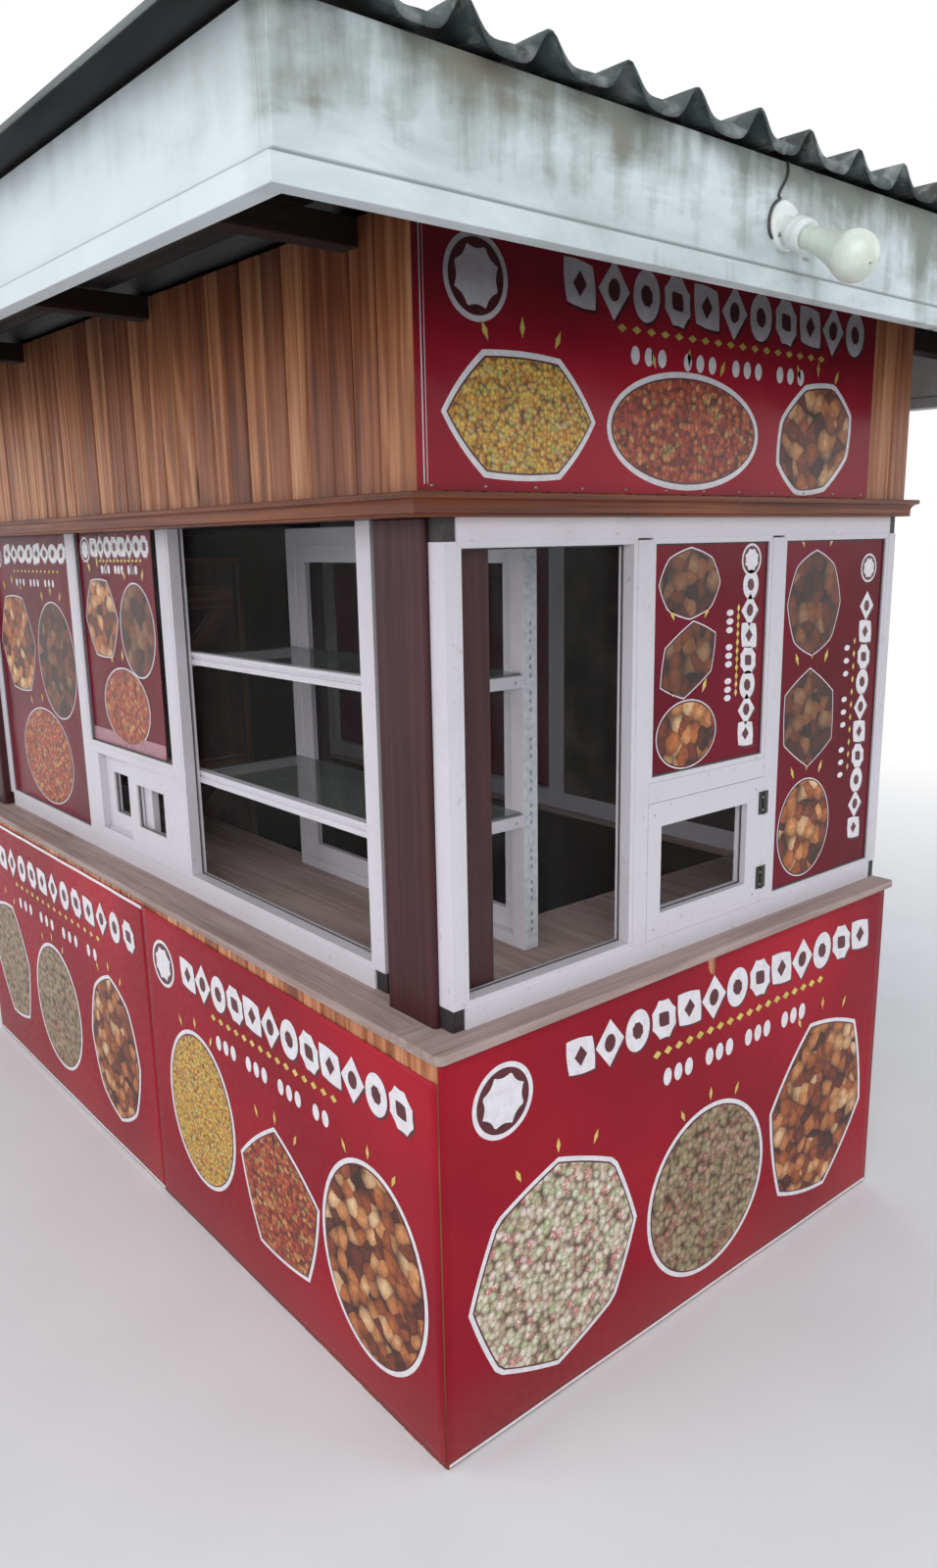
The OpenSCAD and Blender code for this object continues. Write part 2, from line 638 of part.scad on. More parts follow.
// a run of moulding of length l along +x whose face looks to -y, mitred outwards at both ends
module mould_run(l) difference() {
    side_prism(-mould_d - 1, l + mould_d + 1, [for (p = mould_pts) [-p[0], p[1]]]);
    mitre_cut(-135);
    translate([l, 0, 0]) mitre_cut(-45);
}
module moulding() color("#8b5a38") place() {
    translate([0, uy0, top_z]) mould_run(ux1);
    translate([0, uy1, top_z]) rotate([0, 0, -90]) mould_run(uy1 - uy0);
    translate([ux1, uy0, top_z]) rotate([0, 0, 90]) mould_run(uy1 - uy0);
    translate([ux1, uy1, top_z]) rotate([0, 0, 180]) mould_run(ux1);
}
sign_up = 3;
sign_down = 8;
module sign_panel() color("#8a1c28") place()
    box(sign_in, sign_in + sign_w, uy0 - panel_t, uy0,
        top_z + mould_h + sign_up, under_sheet(uy0) - sign_down);

// roof: purlins, fascia boards that butt at the corners, trim and sheets
module purlins() color("#6b4a33") place() purlin_boxes(0);
f0 = -overhang + fascia_t;
f1 = base_l + overhang - fascia_t;
board_rise = fascia_t * slope;
module side_fascia(x0) side_prism(x0, x0 + fascia_t, [
    [f0 + seam, eave_z + board_rise], [f1 - seam, eave_z + back_rise - board_rise],
    [f1 - seam, valley_z + back_rise - board_rise], [f0 + seam, valley_z + board_rise]]);
module fascia_boards() color("#d7e1e4") place() {
    box(roof_x0, roof_x1, -overhang, f0, eave_z, valley_z);
    translate([0, 0, back_rise])
        box(roof_x0, roof_x1, f1, base_l + overhang, eave_z, valley_z - board_rise);
    side_fascia(roof_x0);
    side_fascia(roof_x1 - fascia_t);
}
// the trim hides the boards' lower edge, and its top edge slopes outwards
trim_down = 2;
trim_z = eave_z - trim_down;
trim_cut = 4;
trim_pts = [[0, 0], [-trim_t, 0], [-trim_t, trim_h - trim_cut], [-trim_t + 3, trim_h], [0, trim_h]];
module fascia_trim() color("#e2e8ea") place() {
    side_prism(roof_x0 - trim_t, roof_x1 + trim_t,
        [for (p = trim_pts) [p[0] - overhang, p[1] + trim_z]]);
    for (x = [roof_x0 - trim_t, roof_x1]) side_prism(x, x + trim_t, [
        [-overhang, trim_z], [base_l + overhang, trim_z + back_rise],
        [base_l + overhang, trim_z + trim_h + back_rise], [-overhang, trim_z + trim_h]]);
}

// corrugated sheet: wide pans and narrow ribs, the height a power of a cosine wave that has a pan in the
// middle of the roof, pushed along the fall
sheet_w = roof_x1 - roof_x0 + 2 * sheet_side;
sheet_l = (base_l + 2 * (overhang + sheet_out)) / cos(fall);
steps = ceil(10 * sheet_w / rib_pitch);
rib_power = 1.6;
function sheet_x(i) = (i / steps - 0.5) * sheet_w;
function rib_z(x) = rib_h * pow((1 - cos(360 * x / rib_pitch)) / 2, rib_power);
rib_line = [for (i = [0 : steps]) [sheet_x(i), rib_z(sheet_x(i))]];
rib_back = [for (i = [steps : -1 : 0]) [sheet_x(i), rib_z(sheet_x(i)) + roof_t]];
module roof_sheets() color("#555f5f") place()
    translate([base_w / 2, -overhang - sheet_out, valley_z - sheet_out * slope])
        rotate([90 + fall, 0, 0]) translate([0, 0, -sheet_l])
            linear_extrude(sheet_l) polygon(concat(rib_line, rib_back));

// lamp on the front fascia, a batten holder and a bulb, both turned about the lamp's axis
module on_fascia() translate([lamp_x, -overhang, lamp_z]) children();
module lamp_axis() on_fascia() rotate([0, 0, -lamp_turn]) rotate([90 + lamp_tilt, 0, 0]) children();
plate_r = 36;
plate_pts = [[0, 0], [plate_r, 0], [plate_r, 6], [plate_r - 5, 9], [0, 9]];
collar_l = 62;
collar_pts = [[0, 0], [18, 0], [18, 30], [24, 34], [24, 54], [21, collar_l], [0, collar_l]];
module lamp_holder() color("#e4e6e4") place() {
    on_fascia() rotate([90, 0, 0]) rotate_extrude() polygon(plate_pts);
    difference() {
        lamp_axis() rotate_extrude() polygon(collar_pts);
        on_fascia() translate([-60, -4, -60]) cube(120);
    }
}
// the bulb's neck widens by half a cosine wave into the globe
neck_r = 17;
neck_end = lamp_l - bulb_r / 2;
globe_0 = bulb_r * cos(30);
function neck(t) =
    [neck_r + (globe_0 - neck_r) * (1 - cos(180 * t)) / 2, collar_l + (neck_end - collar_l) * t];
bulb_pts = concat([[0, collar_l]], [for (i = [0 : 2]) neck(i / 3)], arc(0, lamp_l, bulb_r, -30, 90, 5));
module lamp_bulb() color("#dfe6dc") place() lamp_axis() rotate_extrude() polygon(bulb_pts);
wire_r = 2;
module lamp_wire() color("#2a2a2c") place() on_fascia()
    translate([0, -wire_r, plate_r]) cylinder(r = wire_r, h = valley_z - lamp_z - plate_r - 1);

base_front_wall();
base_left_wall();
base_right_wall();
back_wall();
back_door();
back_door_fittings();
floor_boards();
floor_bearers();
corner_posts();
ledge_front();
ledge_left();
ledge_right();
banner_front();
banner_left();
front_frame();
front_mullions();
corner_blocks();
front_hatch_sash();
front_hatch_hinges();
front_glass();
front_panels();
left_frame();
left_mullions();
left_hatch_sashes();
left_glass();
left_panels();
right_frame();
right_glass();
right_panels();
cabinet_back_frame();
cabinet_glass();
cabinet_shelf_rails();
counter_boards();
counter_legs();
upper_front_wall();
upper_back_wall();
upper_left_wall();
upper_right_wall();
moulding();
sign_panel();
purlins();
fascia_boards();
fascia_trim();
roof_sheets();
lamp_holder();
lamp_bulb();
lamp_wire();
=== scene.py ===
import math

import bmesh
import bpy
import numpy as np
from bpy.props import FloatProperty, FloatVectorProperty, IntProperty
from mathutils import Matrix, Vector


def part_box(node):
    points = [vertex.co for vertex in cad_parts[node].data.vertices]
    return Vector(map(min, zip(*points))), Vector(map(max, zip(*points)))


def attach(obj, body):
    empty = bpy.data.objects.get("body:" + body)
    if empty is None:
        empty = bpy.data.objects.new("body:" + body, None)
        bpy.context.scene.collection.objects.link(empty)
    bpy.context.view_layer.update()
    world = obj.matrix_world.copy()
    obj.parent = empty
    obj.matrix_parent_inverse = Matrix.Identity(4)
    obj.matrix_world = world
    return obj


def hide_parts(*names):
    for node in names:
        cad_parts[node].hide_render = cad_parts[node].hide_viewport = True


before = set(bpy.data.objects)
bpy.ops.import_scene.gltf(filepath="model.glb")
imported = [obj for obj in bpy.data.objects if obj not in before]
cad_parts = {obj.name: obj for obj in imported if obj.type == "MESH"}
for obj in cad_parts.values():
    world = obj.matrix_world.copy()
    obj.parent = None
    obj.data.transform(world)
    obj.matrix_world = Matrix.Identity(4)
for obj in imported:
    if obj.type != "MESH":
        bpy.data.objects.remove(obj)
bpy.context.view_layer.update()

bl_info = {
    "name": "Timber food kiosk",
    "version": (1, 0, 0),
    "blender": (4, 5, 0),
    "location": "View3D > Sidebar > Kiosk",
    "description": "Finishes the kiosk's frame: boards, shopfront sections, banners, roof and lamp",
    "category": "Add Mesh",
}

RIGHT, BACK, UP = np.eye(3)    # unit vectors along +x, +y and +z


# ---------------------------------------------------------------- places, from the frame

def span(node):
    """The lowest and highest corner of a node, as arrays."""
    lo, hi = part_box(node)
    return np.array(lo), np.array(hi)


def solids(node):
    """The box of each separate solid of a node, sorted along x and then y and z: vertices at one place are
    joined, and each takes the lowest label among its neighbours until nothing changes."""
    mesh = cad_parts[node].data
    points = np.zeros(len(mesh.vertices) * 3, np.float32)
    mesh.vertices.foreach_get("co", points)
    edges = np.zeros(len(mesh.edges) * 2, np.int32)
    mesh.edges.foreach_get("vertices", edges)
    places, index = np.unique(points.reshape(-1, 3).round(5), axis=0, return_inverse=True)
    ends = index.ravel()[edges].reshape(-1, 2)
    label = np.arange(len(places))
    while True:
        low = label[ends].min(axis=1)
        new = label.copy()
        np.minimum.at(new, ends[:, 0], low)
        np.minimum.at(new, ends[:, 1], low)
        if (new == label).all():
            break
        label = new
    boxes = [(places[label == k].min(axis=0), places[label == k].max(axis=0)) for k in np.unique(label)]
    return sorted(boxes, key=lambda b: tuple(b[0].round(3)))


BASE_LO, BASE_HI = span("base_front_wall")
X0, X1 = BASE_LO[0], BASE_HI[0]
Y0, Y1 = BASE_LO[1], span("back_wall")[1][1]
BAND_LO, BAND_HI = span("upper_front_wall")
BACK_HI, SIDE_HI = span("upper_back_wall")[1], span("upper_left_wall")[1]
FASCIA_LO, FASCIA_HI = span("fascia_boards")
ROOF_LO, ROOF_HI = span("roof_sheets")
FASCIA_H = min(solids("fascia_boards"), key=lambda b: b[1][1])[1][2] - FASCIA_LO[2]
TRIM_H = 0.032    # height of the strip along the fascia's foot
EAVES_Z = FASCIA_LO[2]


# ---------------------------------------------------------------- settings

def linear(code):
    """sRGB hex to linear RGB."""
    c = np.array([int(code[i:i + 2], 16) for i in (1, 3, 5)]) / 255.0
    return tuple(np.where(c <= 0.04045, c / 12.92, ((c + 0.055) / 1.055) ** 2.4))


def length(name, description, default):
    return FloatProperty(name=name, description=description, default=default, min=0.0, unit="LENGTH",
                         subtype="DISTANCE")


def colour(name, description, code):
    return FloatVectorProperty(name=name, description=description, default=linear(code), size=3, min=0.0, max=1.0,
                               subtype="COLOR")


class KioskSizes(bpy.types.PropertyGroup):
    """Sizes of the pieces that the frame leaves to the finish."""
    board_pitch: length("Board pitch", "Usual width of the wall boards", 0.081)
    board_thick: length("Board thickness", "Thickness of the wall boards", 0.018)
    board_gap: length("Board gap", "Open joint between two boards", 0.0030)
    board_edge: length("Board edge", "Chamfer on the boards' long edges", 0.004)
    section_edge: length("Section edge", "Rounding on the edges of the aluminium sections", 0.0012)
    timber_edge: length("Timber edge", "Rounding on the edges of sawn and planed timber", 0.003)
    ripple: length("Banner ripple", "Height of the waves in the vinyl", 0.0016)
    rib_pitch: length("Rib pitch", "Distance between the ribs of the roofing", 0.134)
    lamp_plate: length("Lamp plate", "Radius of the lamp holder's plate", 0.036)
    lamp_collar: length("Lamp collar", "Length of the holder's collar", 0.062)
    lamp_reach: length("Lamp reach", "Distance from the fascia to the middle of the globe", 0.171)
    bulb: length("Bulb", "Diameter of the bulb's globe", 0.071)
    nail: length("Nail head", "Diameter of the nail heads", 0.007)
    seed: IntProperty(name="Seed", description="Start of the random numbers", default=7, min=0)


class KioskColours(bpy.types.PropertyGroup):
    """Main colours of the finishes."""
    varnish: colour("Varnish", "Usual colour of the varnished boards", "#D3966C")
    stain: colour("Dark stain", "Colour of the corner posts", "#3C171B")
    powder: colour("Powder coat", "Colour of the aluminium sections", "#D3CDD2")
    vinyl: colour("Vinyl", "Ground colour of the banners", "#A21427")
    paint: colour("Fascia paint", "Colour of the fascia boards", "#D2DADB")
    sheet: colour("Roofing", "Colour of the weathered roofing", "#4E5756")


def sizes():
    return bpy.context.scene.kiosk_sizes


def rng(offset):
    return np.random.default_rng(sizes().seed * 1000 + offset)


# ---------------------------------------------------------------- meshes

def quads(rows, cols, round_cols=False):
    """The faces of a grid of rows by columns, whose columns may close on themselves."""
    i = np.arange(rows - 1)[:, None]
    j = np.arange(cols if round_cols else cols - 1)[None, :]
    a = i * cols + j
    b = i * cols + (j + 1) % cols
    return np.stack([a, b, b + cols, a + cols], axis=-1).reshape(-1, 4)


def repeat(faces, count, stride):
    """The same faces for count shells whose vertices follow each other."""
    return (faces[None] + stride * np.arange(count)[:, None, None]).reshape(-1, faces.shape[1])


def signed_volume(points, faces):
    """Sum of the tetrahedra from the origin to the fan triangles of each face."""
    p = points[faces]
    fan = [np.einsum("ij,ij->i", p[:, 0], np.cross(p[:, k], p[:, k + 1])).sum() for k in range(1, faces.shape[1] - 1)]
    return sum(fan)


def piece(name, shell, finish, replaces=(), closed=True, smooth=False):
    """A mesh object from a shell, which is points (n, 3), a list of face arrays, and for each vertex its uv in metres
    and its tone. A closed mesh that comes out inside out is turned."""
    points, faces, uv, tone = shell
    if closed and sum(signed_volume(points - points.mean(axis=0), f) for f in faces) < 0:
        faces = [f[:, ::-1] for f in faces]
    mesh = bpy.data.meshes.new(name)
    mesh.from_pydata(points.tolist(), [], [row for f in faces for row in f.tolist()])
    corner = np.zeros(len(mesh.loops), np.int32)
    mesh.loops.foreach_get("vertex_index", corner)
    mesh.uv_layers.new(name="metres").data.foreach_set("uv", np.reshape(uv, (-1, 2))[corner].ravel())
    mesh.attributes.new("tone", "FLOAT", "POINT").data.foreach_set("value", np.ravel(tone).astype(float))
    mesh.polygons.foreach_set("use_smooth", np.full(len(mesh.polygons), smooth))
    mesh.materials.append(material(finish))
    mesh.validate()
    return place(bpy.data.objects.new(name, mesh), replaces)


def place(obj, replaces=()):
    """Link a piece, hang it from the frame's root body, and hide the nodes that it replaces."""
    bpy.context.scene.collection.objects.link(obj)
    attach(obj, "root")
    if replaces:
        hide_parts(*replaces)
    return obj


def softened(node, finish, edge):
    """A merged copy of a node, its flat triangles joined into faces and its edges rounded, that stands for it."""
    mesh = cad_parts[node].data.copy()
    work = bmesh.new()
    work.from_mesh(mesh)
    bmesh.ops.remove_doubles(work, verts=work.verts, dist=2e-5)
    bmesh.ops.dissolve_limit(work, angle_limit=math.radians(1.0), verts=work.verts, edges=work.edges)
    work.to_mesh(mesh)
    work.free()
    mesh.materials.clear()
    mesh.materials.append(material(finish))
    obj = bpy.data.objects.new(node + "_finished", mesh)
    mesh.polygons.foreach_set("use_smooth", np.full(len(mesh.polygons), False))
    bevel = obj.modifiers.new("rounded edges", "BEVEL")
    bevel.width = edge
    bevel.segments = 2
    bevel.limit_method = "ANGLE"
    bevel.angle_limit = math.radians(35)
    bevel.harden_normals = True
    return place(obj, (node,))


def paint(node, finish):
    """Give a node of the frame its finish and leave its mesh alone."""
    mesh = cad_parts[node].data
    mesh.materials.clear()
    mesh.materials.append(material(finish))


def board_shells(origin, across, along, out, edges, low, high, depth, gap, edge, rows=5, jitter=0.0, seed=0,
                 shade=None):
    """Boards side by side as closed shells. Across the boards the section is a rectangle with two chamfers on its
    face, and it is carried along their length from low to high, which may change from edge to edge.
    Returns points, faces, uv in metres and a tone for each vertex, which shade sets where it is given."""
    rand = rng(seed)
    edges = np.asarray(edges, float)
    n = len(edges) - 1
    left, right = edges[:-1, None] + gap / 2, edges[1:, None] - gap / 2
    low, high = np.broadcast_to(low, n + 1).astype(float), np.broadcast_to(high, n + 1).astype(float)
    s = np.concatenate([left, left, left + edge, right - edge, right, right], axis=1)
    d = np.tile([depth[1], depth[0] + edge, depth[0], depth[0], depth[0] + edge, depth[1]], (n, 1))
    d = d + jitter * rand.uniform(-1, 1, (n, 1))
    t = np.linspace(0, 1, rows)[None, :, None]
    bottom = np.interp(s, edges, low)[:, None, :]
    top = np.interp(s, edges, high)[:, None, :]
    z = bottom + (top - bottom) * t
    s3, d3 = np.broadcast_to(s[:, None, :], z.shape), np.broadcast_to(d[:, None, :], z.shape)
    bow = jitter * 0.8 * np.sin(math.pi * t + rand.uniform(0, 6, (n, 1, 1))) * (d3 < depth[1] - 1e-6)
    points = origin + s3[..., None] * across + z[..., None] * along - (d3 + bow)[..., None] * out
    side = quads(rows, 6, round_cols=True)
    caps = np.array([np.arange(6), np.arange(6)[::-1] + (rows - 1) * 6])
    shift = rand.uniform(0, 40, (n, 1, 1))
    uv = np.stack([z + shift, s3 + d3 + shift * 0.37], axis=-1)
    tone = np.broadcast_to(rand.uniform(0.15, 1, (n, 1, 1)) if shade is None else shade, z.shape)
    return points.reshape(-1, 3), [repeat(side, n, rows * 6), repeat(caps, n, rows * 6)], uv, tone


def slab(origin, across, along, out, edges, low, high, depth, edge, shade=0.5, seed=0, rows=2):
    """One plain board between two edges, with depth from its face to its back and a chamfer of edge."""
    return board_shells(origin, across, along, out, edges, low, high, depth, 0.0, edge, rows, seed=seed, shade=shade)


def joined(*shells):
    """Several sets of shells as one."""
    points = np.concatenate([s[0].reshape(-1, 3) for s in shells])
    uv = np.concatenate([np.asarray(s[2]).reshape(-1, 2) for s in shells])
    tone = np.concatenate([np.asarray(s[3]).ravel() for s in shells])
    faces, start = [], 0
    for s in shells:
        faces += [f + start for f in s[1]]
        start += len(s[0].reshape(-1, 3))
    return points, faces, uv, tone


def board_edges(width, pitch, seed, spread=0.16):
    """Edges of boards of uneven width that fill the width between them."""
    n = max(1, round(width / pitch))
    w = rng(seed).uniform(1 - spread, 1 + spread, n)
    return np.concatenate([[0.0], np.cumsum(w) / w.sum() * width])


def runs(profile, corners, outward, rows=2):
    """A profile of (reach, height) carried round a closed path of straight runs with mitred corners: each run goes
    from one corner to the next, and reach is measured along the mitre's direction at both. Each run is closed."""
    profile = np.asarray(profile, float)
    k, n = len(profile), len(corners)
    c0, m0 = np.asarray(corners, float), np.asarray(outward, float)
    c1, m1 = np.roll(c0, -1, axis=0), np.roll(m0, -1, axis=0)
    t = np.linspace(0, 1, rows)[None, :, None]
    c = c0[:, None] + (c1 - c0)[:, None] * t
    m = m0[:, None] + (m1 - m0)[:, None] * t
    points = c[:, :, None] + m[:, :, None] * profile[None, None, :, :1] + UP * profile[None, None, :, 1:]
    girth = np.concatenate([[0], np.cumsum(np.hypot(*np.diff(profile, axis=0).T))])
    way = np.linalg.norm(c - c0[:, None], axis=-1)
    shift = 3.1 * np.arange(n)[:, None, None]
    uv = np.stack(np.broadcast_arrays(way[..., None] + shift, girth + shift * 0.3), axis=-1)
    side = quads(rows, k, round_cols=True)
    caps = np.array([np.arange(k), np.arange(k)[::-1] + (rows - 1) * k])
    tone = np.broadcast_to(np.linspace(0.2, 0.8, n)[:, None, None], points.shape[:-1])
    return points.reshape(-1, 3), [repeat(side, n, rows * k), repeat(caps, n, rows * k)], uv, tone


def frame_of(axis):
    """Two unit vectors square to an axis and to each other."""
    side = np.cross(axis, UP)
    side = side / np.linalg.norm(side)
    return side, np.cross(side, axis)


def revolved(start, axis, profile, count=40):
    """A surface of revolution about an axis from a start point, its profile given as (radius, distance along).
    The profile begins and ends on the axis, where small caps close the poles."""
    side, lift = frame_of(axis)
    profile = np.asarray(profile, float)
    phi = np.linspace(0, 2 * math.pi, count, endpoint=False)
    r, h = profile[:, :1, None], profile[:, 1:, None]
    points = start + h * axis + r * (np.cos(phi)[None, :, None] * side + np.sin(phi)[None, :, None] * lift)
    rows = len(profile)
    caps = np.array([np.arange(count), np.arange(count)[::-1] + (rows - 1) * count])
    uv = np.stack(np.broadcast_arrays(phi * 0.02, profile[:, 1:]), axis=-1)
    return points.reshape(-1, 3), [quads(rows, count, round_cols=True), caps], uv, np.zeros(rows * count)


def domes(centres, out, radius, height, count=10):
    """Low domes, such as nail and screw heads: radius and height follow a quarter of a sine and cosine."""
    centres = np.asarray(centres, float).reshape(-1, 3)
    axis = np.broadcast_to(np.asarray(out, float), centres.shape)
    side = np.cross(axis, np.where(np.abs(axis[:, 2:]) > 0.9, [[1.0, 0, 0]], UP[None]))
    side = side / np.linalg.norm(side, axis=1, keepdims=True)
    lift = np.cross(axis, side)
    rows = 4
    a = np.linspace(0, 0.47 * math.pi, rows)[:, None]
    phi = np.linspace(0, 2 * math.pi, count, endpoint=False)[None, :]
    r, h = radius * np.cos(a), height * np.sin(a) + 0 * phi
    points = (centres[:, None, None] + (r * np.cos(phi))[None, ..., None] * side[:, None, None]
              + (r * np.sin(phi))[None, ..., None] * lift[:, None, None] + h[None, ..., None] * axis[:, None, None])
    n = len(centres)
    caps = np.array([np.arange(count), np.arange(count)[::-1] + (rows - 1) * count])
    uv = np.zeros((n, rows * count, 2))
    return points.reshape(-1, 3), [repeat(quads(rows, count, True), n, rows * count),
                                   repeat(caps, n, rows * count)], uv, np.zeros(n * rows * count)


# ---------------------------------------------------------------- prints

def outline(phi, sides, power):
    """Polar radius of a regular polygon raised to a power, with a corner at zero: 1 keeps the polygon, less swells its
    sides towards the circle, more draws them in to a star. No sides gives the circle."""
    wedge = 2 * math.pi / np.maximum(sides, 3)
    polygon = np.cos(wedge / 2) / np.cos(phi % wedge - wedge / 2)
    return np.where(sides > 0, polygon ** power, 1.0)


def print_shapes(surface, shapes, lift, grow=0.0, count=60):
    """Flat shapes printed on a surface(u, v, lift). Each row of shapes is u, v, radius across, radius up, turn in
    degrees, sides, power and tone. Rings of the outline shrink to a small face in the middle."""
    a = np.asarray(shapes, float).reshape(-1, 8)
    n = len(a)
    cu, cv, ru, rv, turn, sides, power, tone = (a[:, k, None, None] for k in range(8))
    phi = np.linspace(0, 2 * math.pi, count, endpoint=False)[None, None, :]
    rho = np.array([1.0, 0.8, 0.55, 0.3, 0.08])[None, :, None]
    r = outline(phi, sides, power) * rho
    du, dv = (ru + grow) * r * np.cos(phi), (rv + grow) * r * np.sin(phi)
    t = np.radians(turn)
    u, v = cu + du * np.cos(t) - dv * np.sin(t), cv + du * np.sin(t) + dv * np.cos(t)
    rows = rho.size
    middle = np.arange(count)[None] + (rows - 1) * count
    return (surface(u, v, lift).reshape(-1, 3), [repeat(quads(rows, count, True), n, rows * count),
            repeat(middle, n, rows * count)], np.stack([u, v], axis=-1), np.broadcast_to(tone, u.shape))


def print_bars(surface, bars, lift):
    """Flat bars printed on a surface in a grid of about 60 mm. Each row of bars is u0, u1, v0, v1."""
    a = np.asarray(bars, float).reshape(-1, 4)
    cols, rows = (2 + int((a[:, k + 1] - a[:, k]).max() / 0.06) for k in (0, 2))
    t, w = np.linspace(0, 1, cols)[None, None, :], np.linspace(0, 1, rows)[None, :, None]
    u0, u1, v0, v1 = (a[:, k, None, None] for k in range(4))
    u, v = u0 + (u1 - u0) * t + 0 * w, v0 + (v1 - v0) * w + 0 * t
    return (surface(u, v, lift).reshape(-1, 3), [repeat(quads(rows, cols), len(a), rows * cols)],
            np.stack([u, v], axis=-1), np.zeros(u.shape))


def facing(shell, out):
    """Turn open faces towards out."""
    points, faces, uv, tone = shell
    p = points[faces[0][len(faces[0]) // 2]]
    if np.dot(np.cross(p[1] - p[0], p[2] - p[1]), out) < 0:
        faces = [f[:, ::-1] for f in faces]
    return points, faces, uv, tone


def flat_surface(origin, across, up, out, wave=None):
    """A surface function for prints: origin, plus u across, plus v up, plus its wave and lift outwards."""
    origin, across, up, out = (np.asarray(x, float) for x in (origin, across, up, out))

    def surface(u, v, lift):
        u, v = np.broadcast_arrays(u, v)
        rise = lift + (wave(u, v) if wave else 0.0 * u)
        return origin + u[..., None] * across + v[..., None] * up + rise[..., None] * out
    return surface


def rows_of(*columns):
    """Rows of shapes from their columns, each a number or an array."""
    return np.stack([c.ravel() for c in np.broadcast_arrays(*columns)], axis=1)


def row_of(start, end, across, up, count, turn=0.0, sides=0, power=0.0):
    """Shapes at even steps along a line, each of one outline and so far across and up."""
    u, v = (np.linspace(a, b, count) for a, b in zip(start, end))
    return rows_of(u, v, across / 2, up / 2, turn, sides, power, 0.0)


def figure_line(start, end, across, up, count, turn=0.0):
    """Bold figures along a line, in place of a title: by turns a block, a diamond, a disc and a star, and in each a
    smaller figure of the next kind. Returns the figures and the smaller ones."""
    kinds = np.array([[4, 0.75, 1.22, 45.0], [4, 1.0, 1.12, 0.0], [0, 0.0, 1.0, 0.0], [8, 1.6, 1.08, 22.5]])
    rows = []
    for first, share in ((0, 1.0), (1, 0.42)):
        sides, power, size, spin = kinds[(np.arange(count) + first) % 4].T
        rows.append(row_of(start, end, across * size * share, up * size * share, count, turn + spin, sides, power))
    return rows


def small_line(start, end, across, up, count):
    """Small ovals along a line, every fourth left out, in place of a line of small print."""
    return row_of(start, end, across, up, count)[np.arange(count) % 4 != 3]


def gold_line(start, end, across, up, count):
    """Small lozenges along a line."""
    return row_of(start, end, across, up, count, sides=4, power=1.0)


def rays(roundels):
    """Three small lozenges that fan out over each motif, 45 mm off it and 24 degrees apart."""
    u, v, wide, high = np.asarray(roundels, float)[:, :4].T
    lean = np.array([[-24.0], [0.0], [24.0]])
    t = np.radians(lean)
    return rows_of(u + (wide + 0.045) * np.sin(t), v + (high + 0.045) * np.cos(t), 0.0065, 0.019, -lean, 4, 1, 0)


def print_set(name, surface, out, roundels, title, small, accents, emblem, ink=0.0004, rim=0.016):
    """The inks of one print, each a little proud of the one below: white rims, a dark line inside them and mottled
    fills, a title of white figures with a dark shade, a line of small print, accents and an emblem, which is a ring
    round a star."""
    figures, cuts = title
    shade = figures + np.array([0.005, -0.006, 0, 0, 0, 0, 0, 0])
    u, v, r = emblem
    ring, disc, star = ([[u, v, r * k, r * k, turn, sides, power, 0.1]] for k, turn, sides, power in (
        (1.0, 0, 0, 0), (0.86, 0, 0, 0), (0.74, 22.5, 8, 2.4)))
    bright = np.concatenate([accents, rays(roundels)])
    for layer, finish, shapes in (
            ("dark_ink", "dark_red_ink", ((shade, ink), (roundels, ink * 2, 0.004), (cuts, ink * 3), (disc, ink * 2))),
            ("white_ink", "white_ink", ((roundels, ink, rim), (figures, ink * 2), (small, ink * 2), (ring, ink),
                                        (star, ink * 3))),
            ("motifs", "mottled_ink", ((roundels, ink * 3),)),
            ("yellow_ink", "yellow_ink", ((bright, ink * 2, 0.0, 12),))):
        shell = joined(*(facing(print_shapes(surface, *shape), out) for shape in shapes))
        piece(name + "_" + layer, shell, finish, closed=False)


# ---------------------------------------------------------------- materials

COLOUR = {"out": 2, "data_type": "RGBA"}    # what a Mix node is told where it blends two colours


def linear_of(code):
    """The linear colour of a hex code, or of a colour in the settings, with full alpha."""
    return (*linear(code), 1.0) if code[0] == "#" else (*getattr(bpy.context.scene.kiosk_colours, code), 1.0)


def add(tree, kind, inputs=(), out=None, stops=(), **settings):
    """Add a node of a kind, with settings on it, colour stops on its ramp, and values, colours or links on its inputs,
    which are given in order or by key. It gives the output asked for, or else the node."""
    node = tree.nodes.new("ShaderNode" + kind)
    for key, value in settings.items():
        setattr(node, key, value)
    for k, (at, code) in enumerate(stops):
        stop = node.color_ramp.elements[k] if k < 2 else node.color_ramp.elements.new(at)
        stop.position = at
        stop.color = linear_of(code)
    for key, value in inputs.items() if isinstance(inputs, dict) else enumerate(inputs):
        if isinstance(value, bpy.types.NodeSocket):
            tree.links.new(value, node.inputs[key])
        else:
            node.inputs[key].default_value = linear_of(value) if isinstance(value, str) else value
    return node if out is None else node.outputs[out]


def coordinates(tree, source="Object", scale=(1.0, 1.0, 1.0)):
    """Object coordinates or the piece's own metres, which are its UV, scaled per metre."""
    return add(tree, "Mapping", {"Vector": add(tree, "TexCoord", out=source), "Scale": scale}, 0)


